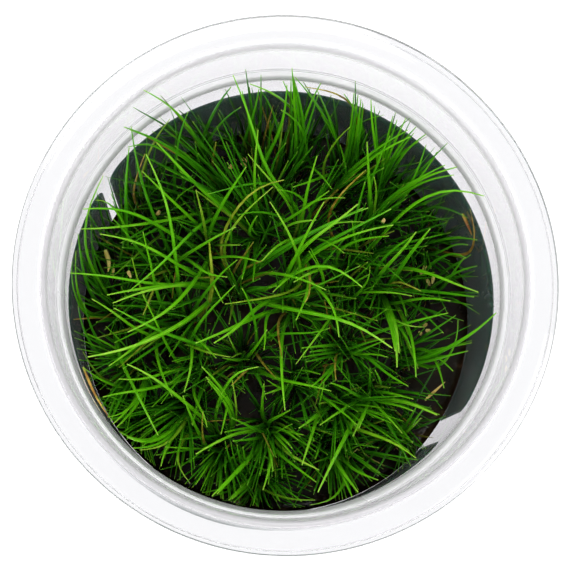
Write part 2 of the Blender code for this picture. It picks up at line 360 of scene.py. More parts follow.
def clouds(tree, scale, detail):
    """Soft noise on the piece, from 0 to 1."""
    sources = {"Vector": own_space(tree), "Scale": scale, "Detail": detail}
    return add_node(tree, "ShaderNodeTexNoise", sources).outputs[0]


def colour_steps(tree, value, steps):
    """The colour that a value picks between steps, each a place and a linear colour."""
    node = add_node(tree, "ShaderNodeValToRGB", {"Fac": value})
    elements = node.color_ramp.elements
    while len(elements) < len(steps):
        elements.new(1.0)
    for element, (place, colour) in zip(elements, steps):
        element.position = place
        element.color = colour
    return node.outputs["Color"]


def blend(tree, share, first, second):
    """The colour that lies between two others."""
    sources = {"Factor": share, 6: first, 7: second}
    return add_node(tree, "ShaderNodeMix", sources, data_type="RGBA").outputs[2]


def relief(tree, height, strength, distance):
    """The surface's direction, tilted by fine relief."""
    sources = {"Height": height, "Strength": strength, "Distance": distance}
    return add_node(tree, "ShaderNodeBump", sources).outputs["Normal"]


def new_material(name):
    """A material with its node tree and its shader."""
    material = bpy.data.materials.new(name)
    material.use_nodes = True
    return material, material.node_tree, material.node_tree.nodes["Principled BSDF"]


def inside_neck(tree, look):
    """A mask that is 1 inside the cup's neck and 0 on the flat rim round it."""
    flat = vector_maths(tree, "MULTIPLY", "Vector", own_space(tree), (1, 1, 0))
    reach = vector_maths(tree, "LENGTH", "Value", flat)
    neck = look.mouth_radius + look.wall
    return remap(tree, reach, neck, neck + NECK_FADE, 1.0, 0.0)


def edge_haze(tree, inside, look):
    """A mask that is 1 on the ledge and on the mouth's edge, and 0 elsewhere on the cup."""
    place = own_space(tree)
    height = add_node(tree, "ShaderNodeSeparateXYZ", {"Vector": place}).outputs["Z"]
    top = CUP_BOX[1].z
    stops = (
        (look.ledge_height - LEDGE_HAZE[1], 0.0, 0.0),
        (look.ledge_height - LEDGE_HAZE[0], 1.0, 0.0),
        (look.collar_height + COLLAR_HAZE[0], 1.0, 0.0),
        (look.collar_height + COLLAR_HAZE[1], 0.0, 0.0),
        (top - MOUTH_HAZE[1], 0.0, 0.0),
        (top - MOUTH_HAZE[0], 0.0, 1.0),
    )
    steps = [(level / top, (ledge, mouth, 0.0, 1.0)) for level, ledge, mouth in stops]
    bands = colour_steps(tree, maths(tree, "DIVIDE", height, top), steps)
    parts = add_node(tree, "ShaderNodeSeparateColor", {"Color": bands})
    toward = (math.cos(LOOSE_BEARING), math.sin(LOOSE_BEARING), 0.0)
    sideways = vector_maths(tree, "DOT_PRODUCT", "Value", place, toward)
    reach = (look.collar_radius * share for share in CLEARER_REACH)
    clearer = remap(tree, sideways, *reach, 1.0, CLEARER_SHARE)
    both = maths(tree, "MULTIPLY_ADD", parts.outputs["Red"], clearer, parts.outputs["Green"])
    return maths(tree, "MULTIPLY", both, inside)


def moulded_polystyrene(look):
    """Clear moulded polystyrene: hard gloss with a breath of haze, milky at the ledge and the mouth."""
    material, tree, shader = new_material("moulded_clear_polystyrene")
    inside = inside_neck(tree, look)
    haze = edge_haze(tree, inside, look)
    sources = {
        # The flat rim takes the greyer tint: painted shade on the same plastic as the neck.
        "Base Color": colour_steps(tree, inside, ((0.0, look.rim_painted_shade), (1.0, look.plastic_colour))),
        "IOR": 1.59,
        "Transmission Weight": remap(tree, haze, 0.0, 1.0, CLEAR_SHARE, MILKY_SHARE),
        "Roughness": remap(tree, haze, 0.0, 1.0, CLEAR_ROUGHNESS, MILKY_ROUGHNESS),
        "Normal": relief(tree, clouds(tree, 140.0, 1.0), 0.25, 0.00006),
    }
    feed(tree, shader, sources)
    return material


def label_film(name, shade, colour, roughness):
    """Polypropylene film in two near shades: satin where it is printed, glossy where it is gummed."""
    material, tree, shader = new_material(name)
    cloud = clouds(tree, 90.0, 3.0)
    sources = {
        "Base Color": colour_steps(tree, cloud, ((0.3, linear(shade)), (0.7, colour))),
        "IOR": 1.49,
        "Roughness": roughness,
        "Normal": relief(tree, cloud, 0.3, 0.00004),
    }
    feed(tree, shader, sources)
    return material


def set_nutrient_gel(look):
    """Set agar: near black and wet, with low waves that catch small glints."""
    material, tree, shader = new_material("set_nutrient_gel")
    shades = ((0.35, linear(GEL_SHADE)), (0.6, look.colour), (0.8, linear(GEL_SILT)))
    sources = {
        "Base Color": colour_steps(tree, clouds(tree, 260.0, 5.0), shades),
        "IOR": 1.34,
        "Roughness": 0.08,
        "Normal": relief(tree, clouds(tree, 1.0 / look.dimple_size, 4.0), 0.6, 0.0005),
    }
    feed(tree, shader, sources)
    return material


def living_blade(look):
    """Living hairgrass: waxy satin green with pale fibres along each blade, straw where it died."""
    material, tree, shader = new_material("living_hairgrass_blade")
    tone, along, across, dryness = (
        add_node(tree, "ShaderNodeAttribute", attribute_name=name).outputs["Fac"]
        for name in ("tone", "along", "across", "dryness")
    )
    mottle = clouds(tree, 420.0, 2.0)
    wander = maths(tree, "MULTIPLY_ADD", mottle, MOTTLE_SHARE, -MOTTLE_SHARE / 2)
    fibre = maths(tree, "COSINE", maths(tree, "MULTIPLY", across, FIBRES))
    shade = maths(tree, "ADD", tone, maths(tree, "MULTIPLY_ADD", fibre, FIBRE_SHARE, wander))
    # Painted light and shade: the green darkens at the blade's foot and lightens to its tip.
    lit_along = maths(tree, "MULTIPLY_ADD", along, TIP_PAINTED_LIGHT, shade)
    # The greens hold painted light as well as the blades' own greens: the deep end is painted shade, the
    # pale lime end painted highlight.
    greens = (
        (0.05, look.shade_colour),
        (0.45, look.leaf_colour),
        (0.85, look.bright_colour),
        (1.0, look.pale_colour),
    )
    straws = ((0.35, look.rust_colour), (0.6, look.straw_colour), (0.82, look.cream_colour))
    # Dead blades pale with the mottle; tones above 0.8, given to the low scraps, add painted light: the
    # palest straw against the shade between the shoots.
    bleached_and_painted_light = maths(tree, "ADD", remap(tree, tone, 0.8, 1.0, 0.0, 0.3), mottle)
    alive = colour_steps(tree, maths(tree, "SUBTRACT", lit_along, FOOT_PAINTED_SHADE), greens)
    colour = blend(tree, dryness, alive, colour_steps(tree, bleached_and_painted_light, straws))
    pale_ends = ((0.0, SHEATH_PALE), (0.12, 0.0), (0.97, 0.0), (1.0, TIP_PALE))
    ends = colour_steps(tree, along, [(place, (pale, pale, pale, 1.0)) for place, pale in pale_ends])
    sources = {
        "Base Color": blend(tree, ends, colour, look.pale_colour),
        "IOR": 1.42,
        "Roughness": 0.36,
        "Subsurface Weight": 0.12,
        "Subsurface Radius": (0.0006, 0.0009, 0.0002),
        "Subsurface Scale": 1.0,
        "Normal": relief(tree, fibre, 0.35, 0.00005),
    }
    feed(tree, shader, sources)
    return material


def opal_sheet(look):
    """A light table's matt opal sheet: even and pale, lit from below, so that shadows vanish."""
    material, tree, shader = new_material("matt_opal_sheet")
    shades = ((0.4, linear(TABLE_SHADE)), (0.6, look.floor_colour))
    sources = {
        "Base Color": colour_steps(tree, clouds(tree, 60.0, 2.0), shades),
        "Emission Color": WHITE,
        "Emission Strength": look.table_glow,
        "Roughness": 0.9,
    }
    feed(tree, shader, sources)
    return material


def finish_piece(name, bm, material, nodes):
    """Makes the mesh an object that rides on the body and stands for its nodes."""
    mesh = bpy.data.meshes.new(name)
    bm.to_mesh(mesh)
    bm.free()
    mesh.materials.append(material)
    piece = bpy.data.objects.new(name, mesh)
    bpy.context.scene.collection.objects.link(piece)
    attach(piece, BODY)
    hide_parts(*nodes)
    return piece


def merge_node(node):
    """A copy of a node's mesh with its loose triangles joined."""
    bm = bmesh.new()
    bm.from_mesh(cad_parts[node].data)
    bmesh.ops.remove_doubles(bm, verts=bm.verts, dist=1e-6)
    return bm


def turn_profile(profile, rounded, steps):
    """Rounds some corners of a wire profile of (radius, height) points and turns it into a closed body."""
    bm = bmesh.new()
    verts = [bm.verts.new((radius, 0.0, height)) for radius, height in profile]
    for first, second in zip(verts, verts[1:]):
        bm.edges.new((first, second))
    for radius, segments, corners in rounded:
        bmesh.ops.bevel(
            bm,
            geom=[verts[i] for i in corners],
            offset=radius,
            offset_type="OFFSET",
            affect="VERTICES",
            segments=segments,
            profile=0.5,
            material=-1,
        )
    bmesh.ops.spin(
        bm,
        geom=bm.verts[:] + bm.edges[:],
        cent=(0, 0, 0),
        axis=(0, 0, 1),
        angle=math.tau,
        steps=steps,
        use_merge=True,
    )
    bmesh.ops.remove_doubles(bm, verts=bm.verts, dist=1e-6)
    bmesh.ops.recalc_face_normals(bm, faces=bm.faces)
    return bm


def smooth_by_angle(piece, degrees):
    piece.data.shade_smooth()
    piece.data.set_sharp_from_angle(angle=math.radians(degrees))


def between(value, low, high, at_low, at_high):
    """The value that lies between two others as a height lies between two heights."""
    share = min(max((value - low) / (high - low), 0.0), 1.0)
    return at_low + (at_high - at_low) * share


def inner_radius(height, look):
    """The radius of the cup's inner face at a height above the floor's corner."""
    top = CUP_BOX[1].z
    if height < look.ledge_height:
        return between(height, look.floor_top, look.ledge_height, look.floor_radius, look.ledge_radius)
    if height < look.collar_height:
        return between(height, look.ledge_height, look.collar_height, look.ledge_radius, look.collar_radius)
    return between(height, look.collar_height, top, look.collar_radius, look.mouth_radius)


def outer_radius(height, look):
    """The radius of the cup's outer face between the foot and the ledge."""
    low, high = look.foot_recess + FOOT_STEP, look.ledge_height - LEDGE_STEP
    return between(height, low, high, look.floor_radius, look.ledge_radius) + look.wall


def cup_profile(look):
    """Half a section through the cup, up the inside and down the outside, with its corners still sharp."""
    top = CUP_BOX[1].z
    rim = CUP_BOX[1].x
    edge_foot = top - look.rim_edge_drop
    rim_under = top - look.rim_thickness
    neck = look.mouth_radius + look.wall
    return [
        (0.0, look.floor_top),
        (look.floor_radius, look.floor_top),
        (look.ledge_radius, look.ledge_height),
        (look.collar_radius, look.collar_height),
        (look.mouth_radius, top),
        (rim, top),
        (rim, edge_foot),
        (rim - look.rim_edge_width, edge_foot),
        (rim - look.rim_edge_width, rim_under),
        (neck, rim_under),
        (look.collar_radius + look.wall, look.collar_height - COLLAR_STEP),
        (look.ledge_radius + look.wall, look.ledge_height - LEDGE_STEP),
        (look.floor_radius + look.wall, look.foot_recess + FOOT_STEP),
        (look.foot_outer_radius, 0.0),
        (look.foot_inner_radius, 0.0),
        (look.foot_inner_radius - FOOT_SLOPE, look.foot_recess),
        (0.0, look.foot_recess),
    ]


def make_cup(look):
    """The clear cup: its floor's corner, its mouth and its small edges are rounded, then it is turned."""
    rounded = (
        (look.floor_rounding, 6, (1,)),
        (look.mouth_rounding, 6, (4,)),
        (look.edge_rounding * 1.6, 4, (2, 3, 9, 10, 11)),
        (look.edge_rounding, 3, (5, 6, 7, 8, 13, 14)),
    )
    bm = turn_profile(cup_profile(look), rounded, look.turn_steps)
    piece = finish_piece("moulded_cup", bm, moulded_polystyrene(look), ["cup"])
    smooth_by_angle(piece, 50)
    return piece


def label_bearings(node):
    """The middle bearing of a label and half the angle that it covers, read from its solid."""
    bm = merge_node(node)
    bearings = sorted(math.atan2(vert.co.y, vert.co.x) % math.tau for vert in bm.verts)
    bm.free()
    gaps = [(bearings[i] - bearings[i - 1]) % math.tau for i in range(len(bearings))]
    widest = max(range(len(gaps)), key=lambda i: gaps[i])
    start, end = bearings[widest], bearings[widest - 1]
    sweep = (end - start) % math.tau
    return start + sweep / 2, sweep / 2


def looseness(bearing):
    """1 where a label has come loose at its foot, falling to 0 on either side."""
    aside = abs((bearing - LOOSE_BEARING + math.pi) % math.tau - math.pi)
    if aside > LOOSE_SWEEP:
        return 0.0
    return math.cos(aside / LOOSE_SWEEP * math.pi / 2) ** 1.5


def make_label(node, look, gummed, printed):
    """A flat blank with round corners, cut into strips, wrapped on the wall and given its thickness."""
    low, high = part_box(node)
    middle, half_sweep = label_bearings(node)
    radius = outer_radius(high.z, look) + LABEL_GAP
    width, height = 2 * radius * half_sweep, high.z - low.z
    bm = bmesh.new()
    bmesh.ops.create_grid(bm, x_segments=1, y_segments=1, size=0.5)
    bmesh.ops.scale(bm, vec=(width, height, 1.0), verts=bm.verts)
    bmesh.ops.bevel(
        bm,
        geom=bm.verts[:],
        offset=look.label_corner,
        offset_type="OFFSET",
        affect="VERTICES",
        segments=10,
        profile=0.5,
        material=-1,
    )
    cuts = ((Vector((1, 0, 0)), width, LABEL_STRIPS), (Vector((0, 1, 0)), height, LABEL_ROWS))
    for axis, length, strips in cuts:
        for i in range(1, strips):
            everything = bm.verts[:] + bm.edges[:] + bm.faces[:]
            place = axis * length * (i / strips - 0.5)
            bmesh.ops.bisect_plane(bm, geom=everything, plane_co=place, plane_no=axis)
    for vert in bm.verts:
        bearing = middle + vert.co.x / radius
        level = (low.z + high.z) / 2 + vert.co.y
        drop = (high.z - level) / (high.z - low.z)
        reach = outer_radius(level, look) + LABEL_GAP + look.label_hang * looseness(bearing) * drop
        vert.co = (reach * math.cos(bearing), reach * math.sin(bearing), level)
    piece = finish_piece(f"wall_{node}", bm, printed, [node])
    piece.data.materials.append(gummed)
    skin = piece.modifiers.new("thickness", "SOLIDIFY")
    skin.thickness = look.label_thickness
    skin.offset = 1.0
    skin.material_offset = 1
    smooth_by_angle(piece, 50)
    return piece


def make_gel(look, cup, material):
    """The gel: a turned body that climbs at the wall, with low dimples pressed into its top."""
    low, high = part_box("nutrient_gel")
    top = high.z - MENISCUS_RISE
    edge = inner_radius(top, cup) - GEL_GAP
    foot = cup.floor_top + cup.floor_rounding
    profile = [
        (0.0, top),
        *((edge * share, top) for share in GEL_RINGS),
        (edge - look.meniscus_width, top),
        (edge - look.meniscus_width * 0.3, top + MENISCUS_RISE * 0.45),
        (edge, high.z),
        (inner_radius(foot, cup) - GEL_GAP, foot),
        (cup.floor_radius - cup.floor_rounding, low.z),
        (0.0, low.z),
    ]
    bm = turn_profile(profile, (), GEL_STEPS)
    for vert in bm.verts:
        if abs(vert.co.z - top) < 1e-6:
            wave = noise.noise(vert.co / look.dimple_size * 0.5)
            vert.co.z += GEL_WAVE * wave
    piece = finish_piece("set_gel", bm, material, ["nutrient_gel"])
    smooth_by_angle(piece, 50)
    return piece


def blade_template():
    """One straight blade of unit size: a six-sided prism cut into rings and tapered to its tip."""
    bm = bmesh.new()
    bmesh.ops.create_cone(bm, cap_ends=True, segments=BLADE_SIDES, radius1=0.5, radius2=0.5, depth=1.0)
    bmesh.ops.translate(bm, vec=(0, 0, 0.5), verts=bm.verts)
    sides = [edge for edge in bm.edges if abs(edge.verts[0].co.z - edge.verts[1].co.z) > 0.5]
    bmesh.ops.subdivide_edges(bm, edges=sides, cuts=BLADE_CUTS, use_grid_fill=False)
    for vert in bm.verts:
        girth = blade_girth(vert.co.z)
        vert.co.x *= girth
        vert.co.y *= girth
    mesh = bpy.data.meshes.new("blade_template")
    bm.to_mesh(mesh)
    bm.free()
    return mesh


def blade_girth(share):
    """How thick a blade is along its length, as a share of its full size."""
    sheath = between(share, 0.0, SHEATH_LENGTH, SHEATH_GIRTH, 1.0)
    return sheath * (1.0 - share**TAPER_POWER * TAPER)


class Blade:
    """A path from root to tip with the blade's size, tone and dryness."""

    def __init__(self, path, width, tone, dryness=0.0, twist=0.0, roll=0.0):
        self.path = path
        self.width = width
        self.tone = tone
        self.dryness = dryness
        self.twist = twist
        self.roll = roll


def curve_through(points, count):
    """Evenly spaced points on a smooth curve that passes through the given ones."""
    ghosts = [points[0] * 2 - points[1], *points, points[-1] * 2 - points[-2]]
    fine = []
    for a, b, c, d in zip(ghosts, ghosts[1:], ghosts[2:], ghosts[3:]):
        for i in range(CURVE_STEPS):
            t = i / CURVE_STEPS
            fine.append(
                0.5
                * (
                    2 * b
                    + (c - a) * t
                    + (2 * a - 5 * b + 4 * c - d) * t**2
                    + (3 * b - a - 3 * c + d) * t**3
                )
            )
    fine.append(points[-1])
    lengths = [0.0]
    for first, second in zip(fine, fine[1:]):
        lengths.append(lengths[-1] + (second - first).length)
    spaced, at = [], 0
    for i in range(count):
        goal = lengths[-1] * i / (count - 1)
        while at < len(lengths) - 2 and lengths[at + 1] < goal:
            at += 1
        span = max(lengths[at + 1] - lengths[at], 1e-9)
        spaced.append(fine[at].lerp(fine[at + 1], min(max((goal - lengths[at]) / span, 0.0), 1.0)))
    for _ in range(SMOOTHINGS):
        inner = [(a + b * 2 + c) / 4 for a, b, c in zip(spaced, spaced[1:], spaced[2:])]
        spaced = [spaced[0], *inner, spaced[-1]]
    return spaced


def add_blade(bm, layers, template, blade, look):
    """Copies the template into the mesh and carries it along the blade's path."""
    count = BLADE_CUTS + 2
    path = curve_through(blade.path, count)
    lean = path[-1] - path[0]
    side = Vector((-lean.y, lean.x, 0.0))
    if side.length < 1e-5:
        side = Vector((1.0, 0.0, 0.0))
    side.normalize()
    frames = []
    for i, point in enumerate(path):
        forward = (path[min(i + 1, count - 1)] - path[max(i - 1, 0)]).normalized()
        flat = (side - forward * side.dot(forward)).normalized()
        turn = Quaternion(forward, blade.roll + blade.twist * i / (count - 1))
        flat = turn @ flat
        frames.append((point, flat, forward.cross(flat)))
    thickness = blade.width * look.blade_thickness / look.blade_width
    first = len(bm.verts)
    bm.from_mesh(template)
    bm.verts.ensure_lookup_table()
    along, across, tone, dryness = layers
    for index in range(first, len(bm.verts)):
        vert = bm.verts[index]
        share = vert.co.z
        point, flat, thin = frames[round(share * (count - 1))]
        vert[along] = share
        vert[across] = vert.co.x / (0.5 * blade_girth(share))
        vert[tone] = blade.tone
        vert[dryness] = blade.dryness
        vert.co = point + flat * (vert.co.x * blade.width) + thin * (vert.co.y * thickness)
    return bm


def plant_of(node):
    """A plant's crown and the paths of its main blades, read from its solid."""
    bm = merge_node(node)
    foot = min(vert.co.z for vert in bm.verts)
    base = [vert.co.copy() for vert in bm.verts if vert.co.z < foot + 1e-5]
    crown = sum(base, Vector()) / len(base)
    paths = []
    for vert in bm.verts:
        if len(vert.link_edges) != 3 or vert.co.z < foot + TALLEST_CROWN:
            continue
        upper = [edge.other_vert(vert) for edge in vert.link_edges]
        lower = {edge.other_vert(near) for near in upper for edge in near.link_edges} - {vert, *upper}
        middle = sum((near.co for near in upper), Vector()) / len(upper)
        start = sum((near.co for near in lower), Vector()) / len(lower)
        root = start + (start - middle) * ROOT_SHARE
        paths.append((root, middle, vert.co.copy()))
    bm.free()
    return crown, paths


def camera_axes():
    """Right, up and back of the camera, and where it stands."""
    back = Vector(
        (
            math.sin(CAMERA_AZIMUTH) * math.cos(CAMERA_ELEVATION),
            -math.cos(CAMERA_AZIMUTH) * math.cos(CAMERA_ELEVATION),
            math.sin(CAMERA_ELEVATION),
        )
    )
    right = Vector((0, 1, 0)).cross(back).normalized()
    up = back.cross(right)
    return right, up, back, CAMERA_TARGET + back * CAMERA_DISTANCE


def point_at(pixel, height):
    """The point at this height that the photo shows at a pixel."""
    right, up, back, stand = camera_axes()
    middle = PICTURE_SIDE / 2
    ray = -back * FOCAL_PIXELS + right * (pixel[0] - middle) + up * (middle - pixel[1])
    return stand + ray * ((height - stand.z) / ray.z)


def pixel_of(point):
    """Where the photo shows a point."""
    right, up, back, stand = camera_axes()
    ray = point - stand
    middle = PICTURE_SIDE / 2
    scale = FOCAL_PIXELS / -ray.dot(back)
    return middle + scale * ray.dot(right), middle - scale * ray.dot(up)


# A blade that the photo shows: its plant, how high its tip stands in millimetres, its tone from 0 (deep
# green) to 1 (pale lime), and the pixels it passes from its tip down to where others hide it.
# The tone is how bright the blade shows, so it holds painted light as well as the blade's own green: shaded
# blades deep green, lit blades and highlights pale lime.
Strand = namedtuple("Strand", "plant height tone pixels width dryness", defaults=(1.0, 0.0))
STRANDS = (
    # Upper left.
    Strand(4, 59, 0.85, ((142, 88), (163, 100), (176, 111), (191, 129), (207, 160))),
    Strand(2, 50, 0.60, ((124, 127), (145, 134), (168, 146), (192, 163), (214, 185)), 1.2),
    Strand(2, 49, 0.50, ((130, 130), (160, 141), (190, 161), (213, 176))),
    Strand(13, 49, 0.55, ((131, 126), (134, 150), (144, 190), (154, 217), (166, 243))),
    Strand(32, 50, 0.50, ((129, 148), (127, 167), (125, 190), (126, 209)), 1.2),
    Strand(12, 48, 0.60, ((128, 147), (140, 142), (155, 143), (165, 151))),
    Strand(15, 52, 0.85, ((146, 154), (155, 172), (164, 192), (170, 216), (174, 243), (177, 272)), 1.1),
    Strand(31, 50, 0.85, ((142, 171), (152, 181), (165, 194), (182, 210), (199, 226))),
    Strand(3, 50, 0.80, ((157, 143), (175, 162), (195, 184), (225, 209), (248, 232)), 1.3),
    Strand(1, 46, 0.40, ((145, 154), (138, 172)), 0.7, 0.9),
    Strand(4, 48, 0.15, ((170, 109), (178, 125), (175, 145))),
    Strand(1, 47, 0.60, ((170, 119), (160, 130), (150, 150)), 0.9, 0.3),
    Strand(12, 48, 0.35, ((188, 112), (180, 130), (177, 150))),
    Strand(4, 49, 0.30, ((231, 87), (222, 97), (212, 115), (203, 137)), 1.2),
    Strand(4, 46, 0.25, ((241, 107), (228, 115), (213, 133))),
    Strand(4, 44, 0.50, ((195, 142), (198, 160))),
    Strand(4, 44, 0.60, ((216, 142), (213, 158)), 0.9, 0.6),
    # Upper middle.
    Strand(28, 51, 0.80, ((233, 75), (243, 97), (252, 124), (260, 155), (272, 182), (292, 200)), 1.1),
    Strand(3, 50, 0.90, ((258, 130), (256, 150), (254, 178), (256, 205))),
    Strand(5, 49, 0.55, ((242, 91), (246, 105), (253, 140))),
    Strand(5, 49, 0.50, ((259, 89), (255, 110), (243, 145))),
    Strand(6, 52, 0.85, ((250, 84), (262, 87), (282, 99))),
    Strand(40, 47, 0.25, ((260, 89), (268, 98), (276, 120))),
    Strand(40, 49, 0.65, ((287, 85), (285, 115), (277, 138), (265, 160)), 1.2),
    Strand(6, 50, 0.60, ((283, 81), (292, 100), (298, 115))),
    Strand(6, 46, 0.60, ((281, 110), (290, 114), (302, 127), (306, 140))),
    Strand(40, 40, 0.30, ((286, 143), (278, 150), (273, 165))),
    Strand(28, 44, 1.00, ((248, 154), (256, 165), (267, 176)), 0.8),
    Strand(31, 50, 0.75, ((246, 167), (236, 182), (222, 204), (213, 222)), 1.2),
    Strand(6, 52, 0.70, ((292, 68), (294, 95), (296, 125), (296, 150)), 1.1),
    Strand(6, 51, 0.60, ((292, 71), (297, 100), (301, 135))),
    Strand(6, 50, 0.50, ((293, 76), (301, 105), (305, 140))),
    Strand(6, 50, 0.65, ((291, 79), (291, 110), (292, 145))),
    Strand(6, 49, 0.50, ((295, 84), (303, 118), (303, 150))),
    Strand(7, 50, 0.60, ((295, 77), (310, 94), (325, 118))),
    Strand(6, 50, 0.70, ((321, 83), (315, 92), (308, 110))),
    Strand(7, 50, 0.50, ((317, 90), (322, 100), (330, 120))),
    Strand(6, 49, 0.40, ((318, 95), (313, 110), (307, 130))),
    Strand(7, 50, 0.80, ((305, 87), (320, 90), (336, 92)), 0.8, 0.8),
    Strand(7, 49, 0.50, ((344, 94), (354, 108))),
    Strand(7, 50, 0.70, ((354, 93), (352, 120), (347, 150))),
    Strand(7, 50, 0.50, ((358, 95), (355, 122), (350, 152))),
    Strand(7, 49, 0.80, ((361, 99), (358, 125), (352, 155))),
    Strand(7, 49, 0.45, ((363, 104), (361, 128), (355, 156))),
    Strand(7, 48, 0.35, ((356, 106), (353, 130), (346, 158))),
    Strand(7, 48, 0.60, ((360, 108), (358, 133), (357, 158))),
    Strand(8, 40, 0.50, ((340, 145), (344, 158)), 0.8),
    Strand(8, 46, 0.70, ((350, 127), (342, 133), (335, 142)), 0.8, 0.2),
    # Upper right.
    Strand(39, 50, 0.80, ((371, 100), (371, 118), (375, 142)), 1.1),
    Strand(39, 49, 0.50, ((374, 106), (376, 125), (377, 145))),
    Strand(39, 47, 0.60, ((384, 115), (375, 116)), 0.8),
    Strand(9, 50, 0.85, ((367, 142), (368, 160), (369, 182), (371, 205)), 1.2),
    Strand(9, 47, 0.75, ((374, 177), (377, 188), (375, 205)), 0.9, 0.15),
    Strand(10, 45, 0.45, ((365, 182), (361, 195), (357, 212))),
    Strand(10, 43, 0.70, ((366, 170), (354, 181), (343, 191)), 0.8, 0.85),
    Strand(8, 50, 0.75, ((410, 137), (386, 148), (362, 166)), 1.1),
    Strand(8, 50, 0.65, ((408, 130), (385, 143), (360, 162))),
    Strand(9, 48, 0.60, ((390, 136), (382, 152), (375, 170))),
    Strand(39, 49, 0.70, ((393, 116), (388, 135), (383, 160))),
    Strand(39, 49, 0.50, ((397, 120), (391, 138), (385, 162))),
    Strand(39, 49, 0.80, ((406, 118), (398, 135), (388, 158))),
    Strand(39, 49, 0.60, ((416, 127), (402, 142), (390, 162))),
    Strand(39, 49, 0.70, ((426, 134), (408, 148), (394, 168))),
    Strand(39, 48, 0.45, ((414, 133), (402, 147), (391, 166))),
    Strand(9, 46, 0.60, ((426, 145), (420, 165), (412, 182))),
    Strand(9, 44, 0.60, ((437, 152), (430, 165), (418, 180))),
    Strand(9, 50, 0.80, ((457, 167), (440, 171), (420, 179), (400, 191), (388, 201)), 1.1),
    Strand(9, 49, 0.65, ((445, 165), (428, 173), (408, 185))),
    Strand(9, 49, 0.70, ((454, 175), (436, 177), (416, 185), (398, 197))),
    Strand(9, 38, 0.35, ((390, 182), (402, 190), (410, 197)), 0.8),
    Strand(10, 52, 0.85, ((484, 196), (462, 188), (438, 190), (413, 203), (393, 222), (375, 244)), 1.1),
    Strand(11, 42, 0.35, ((447, 221), (430, 216), (408, 214)), 0.7),
    Strand(11, 42, 0.40, ((468, 218), (458, 213), (446, 208)), 0.8),
    Strand(11, 42, 0.50, ((470, 209), (473, 221), (475, 234)), 0.9, 0.9),
    # Left.
    Strand(14, 52, 0.85, ((103, 176), (90, 202), (83, 232), (88, 262), (104, 290)), 0.9),
    Strand(31, 50, 0.75, ((83, 209), (110, 207), (130, 211), (150, 220), (167, 231)), 1.1),
    Strand(2, 47, 0.95, ((81, 229), (100, 229), (120, 227), (142, 224), (165, 221), (203, 212))),
    Strand(27, 50, 0.90, ((100, 234), (130, 239), (150, 247), (172, 261))),
    Strand(27, 50, 0.85, ((70, 273), (95, 274), (120, 278), (150, 284), (178, 285))),
    Strand(27, 48, 0.85, ((107, 295), (130, 290), (155, 287), (180, 284)), 1.2),
    Strand(27, 49, 1.00, ((113, 303), (130, 296), (147, 290), (170, 286))),
    Strand(3, 47, 0.75, ((128, 292), (150, 275), (172, 254), (195, 228))),
    Strand(13, 47, 0.45, ((113, 219), (122, 226), (131, 240), (142, 254))),
    Strand(15, 50, 0.70, ((143, 232), (147, 250), (152, 268), (156, 290))),
    Strand(15, 40, 0.70, ((132, 258), (135, 270), (139, 284)), 0.9, 0.2),
    Strand(14, 45, 0.80, ((76, 251), (75, 268), (77, 290)), 0.9),
    Strand(14, 45, 0.50, ((78, 234), (80, 252), (84, 275))),
    Strand(14, 43, 0.60, ((72, 262), (71, 278), (75, 296))),
    Strand(14, 38, 0.25, ((86, 240), (88, 262), (97, 285))),
    Strand(14, 38, 0.25, ((91, 225), (92, 250), (96, 272), (106, 292))),
    Strand(32, 52, 0.85, ((95, 200), (100, 197), (106, 197), (111, 203)), 0.8),
    Strand(32, 46, 0.30, ((111, 194), (114, 200), (118, 208)), 0.8),
    Strand(13, 40, 0.25, ((124, 241), (122, 250), (119, 264)), 0.8),
    # Middle, upper half.
    Strand(31, 48, 1.00, ((196, 190), (200, 206), (204, 222), (206, 237)), 0.9, 0.25),
    Strand(27, 47, 0.90, ((284, 180), (266, 181), (247, 195), (237, 207)), 0.9, 0.5),
    Strand(27, 48, 0.95, ((273, 187), (258, 200), (243, 214)), 0.8, 0.2),
    Strand(26, 48, 0.95, ((270, 202), (278, 214), (287, 229))),
    Strand(28, 45, 0.50, ((238, 215), (255, 211), (273, 214)), 0.8),
    Strand(3, 38, 0.60, ((242, 279), (246, 262), (249, 244)), 1.3),
    Strand(3, 36, 0.55, ((253, 281), (255, 262), (255, 245))),
    Strand(3, 46, 0.75, ((245, 217), (250, 226))),
    Strand(3, 46, 0.75, ((257, 216), (251, 226))),
    Strand(31, 46, 0.80, ((260, 262), (247, 258), (230, 256), (213, 258)), 1.2),
    Strand(15, 42, 0.70, ((237, 260), (226, 268), (219, 276))),
    Strand(31, 42, 0.85, ((240, 245), (225, 245), (210, 245)), 0.9, 0.15),
    Strand(15, 40, 0.80, ((209, 240), (210, 255), (212, 270)), 1.4, 0.45),
    Strand(13, 45, 0.80, ((227, 277), (213, 276), (203, 272), (192, 262))),
    Strand(13, 50, 0.85, ((236, 227), (220, 234), (206, 243), (190, 252))),
    Strand(12, 42, 0.70, ((178, 197), (186, 190), (194, 186)), 0.8),
    Strand(28, 44, 0.45, ((208, 194), (225, 190), (245, 184), (263, 182)), 0.8),
    Strand(31, 50, 0.90, ((128, 332), (148, 323), (168, 311), (185, 294), (200, 273)), 1.2),
    Strand(31, 40, 0.95, ((223, 303), (218, 293), (213, 283)), 0.8),
    Strand(28, 46, 0.95, ((262, 261), (270, 252), (281, 243), (292, 239))),
    Strand(26, 50, 0.85, ((324, 202), (313, 221), (303, 241), (294, 261), (283, 282)), 1.1),
    Strand(26, 49, 0.95, ((358, 204), (343, 217), (324, 231), (306, 243), (292, 262)), 1.3),
    Strand(27, 46, 0.60, ((368, 208), (350, 213), (330, 223), (308, 234), (287, 245)), 1.2),
    Strand(27, 45, 0.50, ((363, 208), (340, 218), (318, 230), (296, 243))),
    Strand(26, 47, 0.55, ((391, 209), (373, 218), (353, 229), (330, 240)), 1.2),
    Strand(26, 48, 0.85, ((393, 225), (376, 227), (358, 233), (338, 240))),
